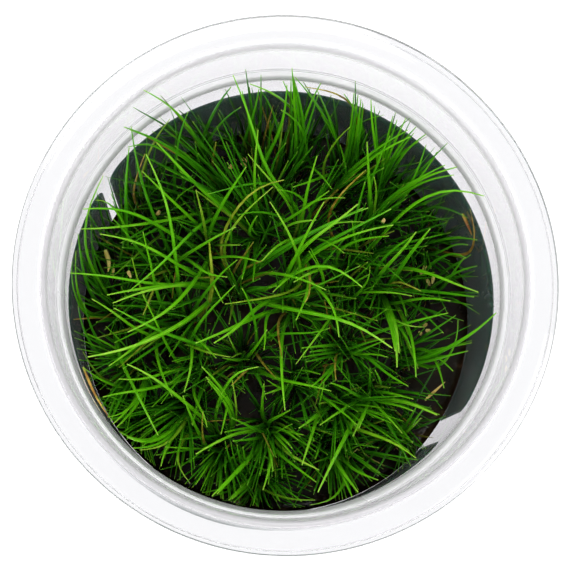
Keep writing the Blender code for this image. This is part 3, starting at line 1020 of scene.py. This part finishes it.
    Strand(35, 45, 0.70, ((389, 236), (374, 237), (358, 240))),
    Strand(26, 44, 0.90, ((364, 222), (350, 221), (336, 222)), 0.8),
    Strand(10, 40, 0.70, ((352, 221), (354, 234), (357, 248)), 1.1),
    Strand(3, 49, 0.75, ((329, 191), (316, 200), (303, 210), (290, 218))),
    Strand(28, 45, 0.85, ((345, 198), (335, 197), (324, 198)), 0.8),
    Strand(6, 44, 0.70, ((332, 189), (325, 180), (317, 171)), 0.8),
    Strand(7, 42, 0.70, ((293, 187), (312, 181), (330, 174))),
    Strand(28, 50, 0.80, ((317, 156), (312, 172), (307, 190), (304, 207)), 1.1),
    Strand(28, 42, 0.60, ((280, 190), (292, 190), (300, 196))),
    Strand(28, 46, 0.95, ((291, 224), (303, 221), (316, 220))),
    Strand(26, 40, 0.70, ((311, 249), (314, 257), (320, 266))),
    Strand(26, 40, 0.70, ((309, 251), (313, 259), (319, 267))),
    Strand(27, 47, 0.85, ((362, 287), (350, 276), (336, 266), (321, 262), (304, 267), (285, 280)), 1.2),
    Strand(10, 42, 0.90, ((294, 282), (305, 275), (318, 270), (333, 266)), 1.1),
    Strand(27, 44, 0.85, ((326, 290), (314, 284), (302, 279), (292, 276))),
    Strand(28, 45, 0.85, ((339, 337), (338, 321), (334, 307), (325, 294), (312, 283)), 1.1),
    Strand(35, 40, 0.75, ((367, 282), (371, 275), (370, 267))),
    Strand(27, 42, 0.50, ((360, 266), (348, 271), (336, 277), (322, 284)), 0.8),
    Strand(10, 38, 0.85, ((367, 269), (358, 264), (350, 259)), 0.8),
    Strand(28, 44, 0.80, ((344, 253), (336, 246), (326, 241)), 0.8),
    # Right.
    Strand(23, 52, 0.75, ((430, 229), (419, 242), (408, 257), (396, 275)), 1.3),
    Strand(23, 52, 0.90, ((416, 232), (409, 242), (398, 255), (384, 269)), 1.2),
    Strand(23, 50, 0.50, ((424, 238), (412, 252), (400, 268)), 1.2),
    Strand(23, 48, 0.50, ((413, 236), (401, 243), (392, 250))),
    Strand(23, 44, 0.90, ((421, 291), (408, 285), (398, 281), (387, 285)), 0.9, 0.6),
    Strand(23, 50, 0.90, ((478, 292), (462, 287), (445, 279), (428, 273), (410, 268)), 1.1),
    Strand(23, 44, 0.45, ((474, 297), (455, 294), (436, 292)), 1.1),
    Strand(23, 46, 0.80, ((450, 301), (432, 298), (415, 299), (398, 303)), 1.1),
    Strand(35, 44, 0.90, ((412, 296), (400, 293), (383, 292)), 0.9),
    Strand(22, 44, 0.70, ((448, 313), (430, 317), (411, 322))),
    Strand(23, 40, 0.60, ((406, 316), (404, 306), (401, 298)), 0.8),
    Strand(11, 40, 0.50, ((477, 240), (460, 237), (440, 240))),
    Strand(11, 40, 0.50, ((468, 245), (458, 242), (448, 248))),
    Strand(33, 40, 0.50, ((477, 266), (463, 269), (450, 276))),
    Strand(33, 38, 0.55, ((464, 258), (456, 268), (450, 278))),
    Strand(33, 40, 0.45, ((466, 258), (455, 251), (445, 255))),
    Strand(24, 50, 0.70, ((496, 313), (481, 328), (465, 338), (449, 348), (430, 356)), 1.3),
    Strand(24, 46, 0.65, ((468, 351), (450, 355), (430, 361), (408, 364))),
    Strand(24, 42, 0.80, ((458, 320), (459, 331), (456, 343))),
    Strand(24, 38, 0.70, ((453, 371), (446, 364), (438, 357))),
    Strand(24, 38, 0.75, ((444, 388), (441, 375), (437, 363))),
    Strand(23, 45, 0.80, ((416, 377), (415, 358), (412, 338), (405, 320)), 1.1),
    Strand(23, 50, 0.90, ((397, 367), (397, 350), (394, 330), (389, 312), (381, 293)), 1.3),
    Strand(23, 48, 0.75, ((395, 351), (392, 332), (387, 314), (380, 297)), 1.1),
    Strand(23, 49, 0.95, ((399, 353), (398, 338), (395, 322), (388, 305)), 1.1),
    Strand(23, 44, 0.95, ((424, 327), (411, 327), (399, 322))),
    Strand(23, 40, 0.60, ((411, 348), (407, 337), (400, 328))),
    # Middle, lower half.
    Strand(27, 50, 0.90, ((392, 348), (376, 336), (360, 326), (340, 318), (315, 314), (290, 309)), 1.3),
    Strand(26, 42, 0.60, ((356, 313), (346, 315), (334, 318))),
    Strand(28, 42, 0.85, ((296, 320), (301, 310), (306, 297), (309, 284)), 1.1),
    Strand(28, 40, 0.90, ((304, 304), (309, 299), (310, 290)), 0.9, 0.7),
    Strand(26, 38, 0.80, ((292, 297), (299, 295), (306, 293))),
    Strand(35, 50, 0.95, ((296, 364), (308, 348), (320, 332)), 0.7),
    Strand(22, 44, 0.75, ((302, 348), (320, 346), (336, 345))),
    Strand(22, 42, 0.55, ((303, 357), (320, 354), (336, 352))),
    Strand(22, 40, 0.50, ((306, 362), (322, 358), (337, 355))),
    Strand(22, 41, 0.60, ((310, 352), (324, 350), (338, 349))),
    Strand(22, 46, 0.60, ((384, 341), (371, 346), (356, 352)), 1.2),
    Strand(22, 45, 0.55, ((383, 339), (369, 342), (352, 348)), 1.1),
    Strand(22, 42, 0.80, ((387, 357), (376, 354), (362, 354))),
    Strand(22, 46, 0.65, ((408, 386), (393, 378), (379, 367), (365, 355)), 1.1),
    Strand(22, 38, 0.80, ((336, 380), (335, 370)), 0.8, 0.85),
    Strand(22, 42, 0.55, ((312, 386), (325, 375), (335, 364)), 1.2),
    Strand(22, 41, 0.50, ((318, 388), (329, 375), (338, 362)), 1.1),
    Strand(21, 38, 0.55, ((370, 368), (370, 380))),
    Strand(21, 40, 0.70, ((375, 370), (380, 380)), 0.9),
    Strand(34, 44, 0.70, ((235, 285), (225, 295), (213, 307), (203, 318))),
    Strand(20, 44, 0.60, ((242, 288), (248, 298), (252, 310))),
    Strand(28, 42, 0.85, ((225, 304), (243, 302), (262, 298), (282, 295)), 0.8, 0.3),
    Strand(28, 44, 0.85, ((273, 292), (281, 284), (290, 276))),
    Strand(26, 46, 0.85, ((214, 343), (226, 336), (239, 327), (250, 314)), 1.3),
    Strand(26, 47, 0.85, ((196, 343), (212, 337), (228, 330), (244, 322)), 1.3),
    Strand(15, 42, 0.95, ((230, 357), (213, 354), (195, 348)), 0.8, 0.2),
    Strand(20, 40, 0.80, ((223, 358), (234, 360)), 0.8),
    Strand(15, 42, 0.80, ((216, 358), (209, 350), (202, 343)), 0.9),
    Strand(20, 40, 0.95, ((228, 335), (233, 346), (239, 357)), 0.9),
    Strand(20, 44, 0.85, ((267, 330), (258, 344), (249, 355))),
    Strand(26, 40, 0.80, ((264, 350), (266, 338), (265, 327))),
    Strand(20, 38, 0.80, ((254, 350), (264, 365), (276, 378)), 0.8, 0.8),
    Strand(26, 38, 0.70, ((278, 334), (280, 346), (282, 358)), 0.8, 0.85),
    Strand(20, 42, 0.60, ((330, 328), (325, 332), (308, 334), (292, 333)), 0.8),
    Strand(29, 42, 0.80, ((297, 370), (308, 371), (320, 374)), 0.8),
    Strand(20, 42, 0.85, ((331, 391), (314, 386), (296, 383)), 1.2),
    Strand(29, 40, 0.80, ((267, 380), (276, 386)), 0.8),
    Strand(29, 40, 0.85, ((265, 394), (274, 391), (284, 387))),
    Strand(26, 46, 0.85, ((285, 410), (283, 395), (282, 375), (281, 355)), 1.1),
    # Lower left.
    Strand(15, 47, 0.90, ((92, 299), (107, 307), (121, 318), (134, 328))),
    Strand(20, 46, 0.65, ((114, 308), (137, 320), (160, 332), (188, 341)), 1.1),
    Strand(27, 53, 1.00, ((88, 357), (112, 353), (137, 346), (163, 334), (187, 321), (208, 302)), 1.3),
    Strand(15, 44, 0.85, ((109, 366), (122, 357), (136, 346), (150, 336)), 1.1),
    Strand(18, 48, 0.95, ((127, 364), (143, 370), (160, 382), (176, 395), (192, 408)), 1.1),
    Strand(34, 44, 0.85, ((103, 397), (121, 392), (141, 391), (163, 385)), 1.1),
    Strand(34, 43, 0.85, ((119, 379), (134, 381), (152, 377), (172, 371))),
    Strand(16, 44, 0.75, ((84, 368), (99, 379), (115, 386)), 0.9),
    Strand(16, 40, 0.45, ((83, 352), (88, 360), (94, 370)), 0.8, 0.2),
    Strand(16, 40, 0.30, ((78, 306), (82, 328), (92, 346))),
    Strand(16, 39, 0.30, ((84, 303), (89, 323), (99, 343))),
    Strand(34, 46, 0.75, ((143, 295), (152, 313), (161, 333), (172, 355)), 0.9),
    Strand(13, 40, 0.90, ((143, 315), (148, 304), (152, 293)), 0.9, 0.5),
    Strand(15, 42, 0.95, ((184, 392), (188, 381), (191, 368), (192, 354))),
    Strand(15, 38, 0.80, ((172, 396), (165, 382), (159, 366), (156, 351)), 1.1),
    Strand(14, 46, 0.80, ((158, 435), (147, 414), (136, 391), (124, 369), (116, 345)), 1.1),
    Strand(16, 42, 0.80, ((108, 417), (120, 416), (133, 405), (142, 390)), 1.2),
    Strand(16, 42, 0.85, ((113, 424), (122, 416), (134, 402), (143, 385)), 1.2),
    Strand(16, 41, 0.80, ((117, 427), (127, 417), (138, 403)), 1.2),
    Strand(16, 40, 0.70, ((121, 424), (131, 412), (140, 398))),
    Strand(17, 44, 0.80, ((127, 437), (140, 444), (156, 441), (172, 432), (184, 418)), 1.3),
    Strand(17, 43, 0.75, ((120, 432), (133, 440), (150, 441), (167, 433), (180, 420)), 1.1),
    Strand(17, 44, 0.70, ((133, 448), (148, 448), (165, 441), (180, 428)), 1.1),
    Strand(17, 43, 0.90, ((140, 450), (155, 449), (172, 440), (186, 420)), 1.0, 0.2),
    Strand(17, 40, 0.85, ((161, 466), (163, 454), (169, 444)), 1.1),
    Strand(18, 38, 0.90, ((190, 483), (180, 472), (176, 460), (179, 447)), 1.1, 0.2),
    Strand(18, 38, 0.80, ((165, 447), (182, 448), (200, 449)), 0.8),
    Strand(18, 42, 0.75, ((183, 396), (190, 414), (199, 434), (210, 452)), 1.1),
    Strand(18, 40, 0.90, ((203, 412), (202, 425), (203, 439)), 1.0, 0.7),
    Strand(34, 40, 0.90, ((207, 427), (207, 418), (203, 413)), 0.9),
    Strand(18, 44, 0.85, ((202, 367), (211, 376), (221, 388)), 1.2),
    Strand(18, 43, 0.80, ((206, 377), (213, 384), (222, 394)), 1.1),
    Strand(18, 42, 0.80, ((208, 381), (216, 390), (222, 398))),
    Strand(18, 44, 0.85, ((258, 367), (243, 368), (231, 375), (224, 388))),
    Strand(18, 38, 0.95, ((234, 389), (232, 380)), 0.8, 0.2),
    Strand(20, 38, 0.80, ((221, 434), (225, 418), (228, 404))),
    # Bottom.
    Strand(19, 46, 0.95, ((196, 454), (207, 447), (221, 440), (236, 433), (252, 431)), 1.1),
    Strand(19, 42, 0.60, ((233, 441), (245, 440), (258, 438))),
    Strand(19, 42, 0.60, ((225, 432), (240, 429), (256, 427))),
    Strand(19, 46, 0.60, ((232, 418), (245, 424), (259, 431))),
    Strand(19, 44, 0.80, ((303, 435), (290, 432), (281, 430)), 0.8),
    Strand(19, 43, 0.80, ((298, 440), (291, 434), (283, 430)), 0.8),
    Strand(19, 44, 0.85, ((292, 448), (286, 441), (279, 435))),
    Strand(19, 43, 0.80, ((291, 453), (284, 445), (277, 437))),
    Strand(19, 44, 0.75, ((292, 424), (284, 428), (277, 432)), 0.8),
    Strand(19, 45, 0.80, ((290, 410), (281, 415), (270, 421)), 1.1),
    Strand(19, 38, 0.85, ((264, 384), (263, 394), (262, 404)), 1.1),
    Strand(19, 44, 0.95, ((319, 470), (305, 463), (290, 455), (280, 446)), 1.0, 0.15),
    Strand(19, 44, 0.75, ((316, 482), (300, 470), (284, 458))),
    Strand(19, 40, 0.85, ((273, 471), (271, 457), (267, 442)), 1.1),
    Strand(19, 43, 0.90, ((263, 490), (267, 477), (271, 462))),
    Strand(19, 43, 0.80, ((212, 496), (224, 484), (237, 471), (252, 455)), 1.3),
    Strand(19, 42, 0.75, ((217, 494), (228, 482), (241, 469), (254, 453)), 1.2),
    Strand(38, 42, 0.75, ((315, 500), (295, 500), (275, 495), (261, 488)), 0.8, 0.2),
    Strand(38, 38, 0.80, ((229, 500), (240, 489), (252, 478)), 1.3),
    Strand(38, 37, 0.75, ((232, 499), (243, 489), (254, 479)), 1.2),
    Strand(38, 36, 0.45, ((225, 441), (229, 458), (236, 473))),
    Strand(38, 36, 0.45, ((231, 443), (234, 459), (240, 473))),
    Strand(38, 36, 0.50, ((237, 445), (240, 460), (245, 473))),
    Strand(38, 36, 0.50, ((243, 447), (245, 461), (249, 473))),
    Strand(36, 46, 0.95, ((302, 465), (306, 452), (311, 438), (315, 424)), 1.1),
    Strand(36, 44, 0.85, ((299, 428), (307, 423), (317, 415)), 1.2),
    Strand(36, 40, 0.80, ((324, 383), (322, 394), (320, 401)), 1.1),
    Strand(36, 46, 0.90, ((416, 458), (402, 447), (384, 438), (362, 431)), 1.1, 0.15),
    Strand(29, 44, 0.65, ((357, 425), (345, 414), (331, 403))),
    Strand(21, 46, 0.70, ((331, 383), (345, 388), (358, 396)), 1.2),
    Strand(21, 42, 0.80, ((413, 399), (402, 396), (389, 393))),
    Strand(21, 48, 0.95, ((437, 415), (420, 407), (402, 401), (384, 400)), 1.3),
    Strand(21, 45, 0.80, ((413, 411), (401, 406), (386, 403)), 1.1),
    Strand(21, 46, 0.85, ((402, 433), (391, 420), (380, 409))),
    Strand(21, 48, 0.90, ((318, 492), (328, 471), (340, 447), (352, 424), (363, 406)), 1.3),
    Strand(21, 42, 0.90, ((353, 436), (359, 423), (365, 410))),
    Strand(21, 42, 0.85, ((359, 428), (363, 418), (367, 408))),
    Strand(21, 45, 0.90, ((320, 425), (334, 415), (350, 405))),
    Strand(30, 36, 0.70, ((424, 408), (415, 420), (404, 434))),
    Strand(30, 35, 0.60, ((418, 404), (410, 418), (401, 433))),
    Strand(30, 36, 1.00, ((421, 418), (408, 431)), 0.9),
    Strand(30, 34, 0.80, ((413, 442), (406, 438))),
    Strand(25, 46, 0.75, ((378, 480), (362, 474), (349, 466), (341, 455))),
    Strand(25, 46, 0.85, ((358, 492), (348, 479), (339, 466)), 1.2),
    Strand(25, 44, 0.70, ((352, 497), (347, 485), (340, 470))),
    Strand(25, 42, 0.85, ((310, 505), (325, 503), (337, 497), (343, 485)), 0.9),
)


# A dead scrap that the photo shows: its plant, its height in millimetres, its pixels, width and dryness.
Scrap = namedtuple("Scrap", "plant height pixels width dryness", defaults=(1.0, 0.9))
SCRAPS = (
    Scrap(31, 15, ((229, 166), (233, 168)), 1.2, 1.0),
    Scrap(31, 15, ((242, 158), (247, 162)), 0.9, 1.0),
    Scrap(31, 15, ((241, 163), (247, 166)), 0.8, 0.9),
    Scrap(24, 13, ((425, 323), (425, 327)), 1.3, 0.75),
    Scrap(24, 13, ((428, 329), (428, 333)), 1.3, 0.85),
    Scrap(24, 12, ((419, 334), (422, 332)), 1.2, 0.8),
    Scrap(33, 14, ((423, 267), (428, 269)), 1.4, 0.8),
    Scrap(33, 13, ((420, 274), (423, 273)), 1.2, 0.7),
    Scrap(33, 13, ((434, 275), (432, 284)), 1.0, 0.8),
    Scrap(33, 12, ((427, 279), (430, 286)), 0.9, 0.9),
    Scrap(13, 16, ((157, 212), (160, 214)), 1.5, 0.9),
    Scrap(32, 18, ((105, 250), (109, 262), (108, 272)), 1.1, 0.85),
    Scrap(14, 17, ((112, 275), (114, 268)), 0.9, 0.7),
    Scrap(14, 20, ((128, 271), (131, 278)), 0.9, 0.95),
    Scrap(9, 22, ((382, 220), (385, 222)), 1.5, 1.0),
    Scrap(24, 16, ((425, 400), (445, 382)), 0.7, 1.0),
    Scrap(16, 36, ((75, 370), (90, 396), (107, 420)), 0.6, 1.0),
    Scrap(11, 30, ((470, 210), (473, 221), (475, 234)), 0.8, 1.0),
    Scrap(25, 13, ((357, 449), (366, 455), (375, 462)), 0.35, 0.6),
    Scrap(25, 13, ((357, 449), (370, 458), (385, 466)), 0.3, 0.6),
    Scrap(25, 13, ((357, 449), (349, 458), (346, 470)), 0.3, 0.6),
)


def held_in(point, cup):
    """The point, moved inwards if it would touch the cup's wall."""
    limit = inner_radius(point.z, cup) - HOLD_OFF_WALL
    reach = math.hypot(point.x, point.y)
    if reach <= limit:
        return point
    return Vector((point.x * limit / reach, point.y * limit / reach, point.z))


def straightness(start, pixels):
    """From 1 where a blade runs straight on into its visible stretch to -1 where it would fold back."""
    (ax, ay), (bx, by) = pixels[:2]
    first, second = Vector((ax - start[0], ay - start[1])), Vector((bx - ax, by - ay))
    return first.normalized().dot(second.normalized())


def traced_blade(strand, crown, cup, look, rng):
    """A blade that grows from a crown and passes the strand's pixels at heights that rise to its tip."""
    root = crown + Vector((rng.uniform(-1, 1), rng.uniform(-1, 1), 1.0)) * MILLIMETRE
    start, seen = pixel_of(root), list(reversed(strand.pixels))
    if straightness(start, seen) < 0.0 and straightness(start, seen[::-1]) > straightness(start, seen):
        seen.reverse()
    if straightness(start, seen) < 0.0:
        root = held_in(root.lerp(point_at(seen[0], root.z), 0.8), cup)
        start = pixel_of(root)
    trail = [start, *seen]
    lengths = [0.0]
    for first, second in zip(trail, trail[1:]):
        lengths.append(lengths[-1] + math.dist(first, second))
    tip_height = strand.height * MILLIMETRE
    path = [root]
    for pixel, length in zip(trail[1:], lengths[1:]):
        share = (length / lengths[-1]) ** RISE_FIRST
        path.append(held_in(point_at(pixel, root.z + (tip_height - root.z) * share), cup))
    onward = (path[1] - path[2]).normalized() * (root - path[1]).length * JOINT_REACH
    eased = (path[1] + onward).lerp(root.lerp(path[1], JOINT_PLACE), JOINT_EASE)
    path.insert(1, held_in(eased, cup))
    tone = strand.tone * STRAND_TONE
    width = look.blade_width * strand.width * STRAND_WIDTH
    return Blade(path, width, tone, strand.dryness, rng.uniform(-0.5, 0.5))


def fallen_scrap(scrap, cup, look):
    """A dead bit of blade that lies where the photo shows it."""
    low = scrap.height < SCRAP_LOW
    height = scrap.height + (SCRAP_LIFT if low else 0)
    path = [held_in(point_at(pixel, height * MILLIMETRE), cup) for pixel in scrap.pixels]
    # Scraps low between the shoots take tone 1: painted light, the palest straw against their shade.
    return Blade(path, look.blade_width * scrap.width * SCRAP_WIDTH, 1.0 if low else 0.5, scrap.dryness)


def pale_root(crown, look, rng):
    """A fine root that lies on the gel round a crown."""
    turn, bend = rng.uniform(0, math.tau), rng.uniform(-0.9, 0.9)
    path = [crown + Vector((0, 0, MILLIMETRE * 0.5))]
    for step in range(3):
        turn += bend
        out = Vector((math.cos(turn), math.sin(turn), rng.uniform(-0.05, 0.12)))
        path.append(path[-1] + out * rng.uniform(0.8, 2.2) * MILLIMETRE)
    return Blade(path, look.blade_width * rng.uniform(0.2, 0.34), 0.5, rng.uniform(0.6, 1.0))


def painted_far_shade(root):
    """Painted shade: blades on the far side are a deeper green where the far label shades them."""
    return between(root.y, *FAR_SHADE_FROM, 1.0, FAR_SHADE_TONE)


def main_blade(path, cup, look, rng):
    """The fine blade that stands where the solid has one of its coarse ones."""
    root, middle, tip = path
    share = rng.uniform(*MAIN_SHARE)
    points = [root, held_in(root.lerp(middle, share), cup), held_in(root.lerp(tip, share), cup)]
    tone = rng.triangular(*MAIN_TONE) * painted_far_shade(root)
    dryness = rng.uniform(0.1, 0.35) if rng.random() < MAIN_DRY_SHARE else 0.0
    return Blade(points, look.blade_width * rng.uniform(0.8, 1.05), tone, dryness, rng.uniform(-0.8, 0.8))


def companion_blade(path, cup, look, rng):
    """A finer, shorter blade from the same spot that leans its own way."""
    root, middle, tip = path
    share = rng.uniform(*COMPANION_SHARE)
    turn = rng.uniform(0, math.tau)
    swing = Vector((math.cos(turn), math.sin(turn), 0.0)) * rng.uniform(1.0, 9.0) * MILLIMETRE
    shift = Vector((rng.uniform(-1, 1), rng.uniform(-1, 1), 0.0)) * MILLIMETRE * COMPANION_SHIFT
    points = [
        root + shift,
        held_in(root.lerp(middle, share) + shift + swing * COMPANION_KNEE, cup),
        held_in(root.lerp(tip, share) + shift + swing, cup),
    ]
    tone = rng.triangular(*COMPANION_TONE) * painted_far_shade(root)
    dryness = rng.uniform(0.3, 0.9) if rng.random() < COMPANION_DRY_SHARE else 0.0
    return Blade(points, look.blade_width * rng.uniform(0.6, 1.0), tone, dryness, rng.uniform(-1.0, 1.0))


def arching_blade(habit, turn, crown, cup, look, rng):
    """A blade that leaves the crown at a bearing and arches out."""
    out = Vector((math.cos(turn), math.sin(turn), 0.0))
    reach = rng.uniform(*habit.reach) * MILLIMETRE
    rise = rng.uniform(*habit.rise) * MILLIMETRE
    root = crown + out * rng.uniform(*habit.stand) * MILLIMETRE + Vector((0, 0, MILLIMETRE))
    knee_out, knee_up = habit.knee
    points = [
        root,
        held_in(root + out * reach * knee_out + Vector((0, 0, rise * knee_up)), cup),
        held_in(root + out * reach + Vector((0, 0, rise)), cup),
    ]
    tone = rng.triangular(*habit.tone)
    return Blade(points, look.blade_width * rng.uniform(0.55, 0.95), tone, 0.0, rng.uniform(-1.0, 1.0))


def young_shoot(crown, cup, look, rng):
    """A short young blade that arches out low round the crown."""
    blade = arching_blade(SHOOT, rng.uniform(0, math.tau), crown, cup, look, rng)
    blade.tone *= painted_far_shade(blade.path[0])
    return blade


def edge_blade(crown, cup, look, rng):
    """A blade of a plant near the viewer that leans out to the wall."""
    turn = math.atan2(crown.y, crown.x) + rng.uniform(-0.9, 0.9)
    return arching_blade(EDGE_BLADE, turn, crown, cup, look, rng)


def make_tuft(number, template, material, cup, look, rng):
    """One plant: its blades drawn fine, in place of the node that has them coarse."""
    node = f"tuft_{number:02d}"
    crown, paths = plant_of(node)
    blades = [main_blade(path, cup, look, rng) for path in paths]
    share = SPARSE_SHARE if number in SPARSE_PLANTS else between(crown.y, *FAR_SIDE, 1.0, FAR_SHARE)
    companions, shoots = math.ceil(look.companions * share), round(look.shoots * share)
    blades += [companion_blade(path, cup, look, rng) for path in paths for _ in range(companions)]
    blades += [young_shoot(crown, cup, look, rng) for _ in range(shoots)]
    if crown.y < NEAR_SIDE and crown.x < POCKET_SIDE and crown.xy.length > NEAR_WALL:
        blades += [edge_blade(crown, cup, look, rng) for _ in range(look.edge_blades)]
    blades += [traced_blade(s, crown, cup, look, rng) for s in STRANDS if s.plant == number]
    blades += [fallen_scrap(s, cup, look) for s in SCRAPS if s.plant == number]
    blades += [pale_root(crown, look, rng) for _ in range(look.roots)]
    bm = bmesh.new()
    layers = [bm.verts.layers.float.new(name) for name in ("along", "across", "tone", "dryness")]
    for blade in blades:
        add_blade(bm, layers, template, blade, look)
    piece = finish_piece(f"grass_{number:02d}", bm, material, [node])
    smooth_by_angle(piece, 75)
    return piece


def make_floor(look):
    """A wide round table top under the cup."""
    bm = bmesh.new()
    bmesh.ops.create_circle(bm, cap_ends=True, segments=96, radius=look.floor_radius)
    mesh = bpy.data.meshes.new("table_top")
    bm.to_mesh(mesh)
    bm.free()
    mesh.materials.append(opal_sheet(look))
    floor = bpy.data.objects.new("table_top", mesh)
    bpy.context.scene.collection.objects.link(floor)
    return floor


def make_softbox(name, place, aim, size, power):
    """A square softbox that faces a point."""
    light = bpy.data.lights.new(name, "AREA")
    light.shape = "SQUARE"
    light.size = size
    light.energy = power
    lamp = bpy.data.objects.new(name, light)
    lamp.location = place
    lamp.rotation_euler = (Vector(aim) - Vector(place)).to_track_quat("-Z", "Y").to_euler()
    bpy.context.scene.collection.objects.link(lamp)
    return lamp


def make_sky(look):
    """A pale round room: bright walls and a dimmer ceiling."""
    world = bpy.data.worlds.new("pale_room")
    world.use_nodes = True
    tree = world.node_tree
    place = add_node(tree, "ShaderNodeTexCoord").outputs["Generated"]
    level = add_node(tree, "ShaderNodeSeparateXYZ", {"Vector": place}).outputs["Z"]
    strengths = (look.wall_strength, look.ceiling_strength)
    glow = remap(tree, level, *WALL_TO_CEILING, *strengths, ease="SMOOTHSTEP")
    feed(tree, tree.nodes["Background"], {"Color": WHITE, "Strength": glow})
    bpy.context.scene.world = world


def make_camera():
    """The camera, where the photo was taken from."""
    right, up, back, stand = camera_axes()
    camera = bpy.data.cameras.new("photo_camera")
    camera.sensor_width = SENSOR_WIDTH
    camera.lens = FOCAL_PIXELS / PICTURE_SIDE * SENSOR_WIDTH
    camera.clip_start = CLIP_START
    view = bpy.data.objects.new("photo_camera", camera)
    rows = ((right[i], up[i], back[i], stand[i]) for i in range(3))
    view.matrix_world = Matrix((*rows, (0, 0, 0, 1)))
    bpy.context.scene.collection.objects.link(view)
    bpy.context.scene.camera = view


class HairgrassOperator:
    """What the operators share: their settings are kept on the scene."""

    bl_options = {"REGISTER", "UNDO"}


class HAIRGRASS_OT_cup(HairgrassOperator, bpy.types.Operator):
    """Turn the clear cup."""

    bl_idname = "hairgrass.cup"
    bl_label = "Cup"

    def execute(self, context):
        make_cup(context.scene.hairgrass_cup)
        return {"FINISHED"}


class HAIRGRASS_OT_labels(HairgrassOperator, bpy.types.Operator):
    """Wrap the two plain labels round the wall."""

    bl_idname = "hairgrass.labels"
    bl_label = "Labels"

    def execute(self, context):
        look = context.scene.hairgrass_cup
        gummed = label_film("gummed_label_film", GUM_SHADE, look.label_gum_colour, 0.12)
        printed = label_film("printed_label_film", PRINT_SHADE, look.label_colour, 0.4)
        for node in ("label_back", "label_front"):
            make_label(node, look, gummed, printed)
        return {"FINISHED"}


class HAIRGRASS_OT_gel(HairgrassOperator, bpy.types.Operator):
    """Fill in the dark gel."""

    bl_idname = "hairgrass.gel"
    bl_label = "Gel"

    def execute(self, context):
        look = context.scene.hairgrass_gel
        make_gel(look, context.scene.hairgrass_cup, set_nutrient_gel(look))
        return {"FINISHED"}


class HAIRGRASS_OT_grass(HairgrassOperator, bpy.types.Operator):
    """Grow the grass plants."""

    bl_idname = "hairgrass.grass"
    bl_label = "Grass"

    def execute(self, context):
        look = context.scene.hairgrass_grass
        cup = context.scene.hairgrass_cup
        template = blade_template()
        leaf = living_blade(look)
        plants = sorted(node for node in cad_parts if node.startswith("tuft_"))
        for node in plants:
            number = int(node.split("_")[1])
            make_tuft(number, template, leaf, cup, look, random.Random(SEED * 100 + number))
        bpy.data.meshes.remove(template)
        return {"FINISHED"}


class HAIRGRASS_OT_stage(HairgrassOperator, bpy.types.Operator):
    """Set the table, the light and the camera."""

    bl_idname = "hairgrass.stage"
    bl_label = "Stage"

    def execute(self, context):
        look = context.scene.hairgrass_stage
        make_floor(look)
        make_sky(look)
        for bearing in SOFTBOX_BEARINGS:
            turn = math.radians(bearing)
            place = (SOFTBOX_REACH * math.cos(turn), SOFTBOX_REACH * math.sin(turn), SOFTBOX_HEIGHT)
            make_softbox(f"softbox_{bearing}", place, SOFTBOX_AIM, SOFTBOX_SIDE, look.softbox_power)
        make_camera()
        context.scene.view_settings.view_transform = "Standard"
        return {"FINISHED"}


class HAIRGRASS_PT_panel(bpy.types.Panel):
    """Lists the steps in the order in which they run."""

    bl_label = "Hairgrass cup"
    bl_space_type = "VIEW_3D"
    bl_region_type = "UI"
    bl_category = "Hairgrass"

    def draw(self, context):
        for operator in OPERATORS:
            self.layout.operator(operator.bl_idname)
        for name in SETTINGS:
            settings = getattr(context.scene, name)
            box = self.layout.box()
            for key in settings.__annotations__:
                box.prop(settings, key)


OPERATORS = (
    HAIRGRASS_OT_stage,
    HAIRGRASS_OT_cup,
    HAIRGRASS_OT_labels,
    HAIRGRASS_OT_gel,
    HAIRGRASS_OT_grass,
)
SETTINGS = {
    "hairgrass_cup": CupSizes,
    "hairgrass_gel": GelLook,
    "hairgrass_grass": GrassLook,
    "hairgrass_stage": StageLook,
}
CLASSES = (*SETTINGS.values(), *OPERATORS, HAIRGRASS_PT_panel)


def register():
    for item in CLASSES:
        bpy.utils.register_class(item)
    for name, group in SETTINGS.items():
        setattr(bpy.types.Scene, name, bpy.props.PointerProperty(type=group))


def unregister():
    for name in SETTINGS:
        delattr(bpy.types.Scene, name)
    for item in reversed(CLASSES):
        bpy.utils.unregister_class(item)


def main():
    register()
    bpy.ops.hairgrass.stage()
    bpy.ops.hairgrass.cup()
    bpy.ops.hairgrass.labels()
    bpy.ops.hairgrass.gel()
    bpy.ops.hairgrass.grass()


if __name__ == "__main__":
    main()
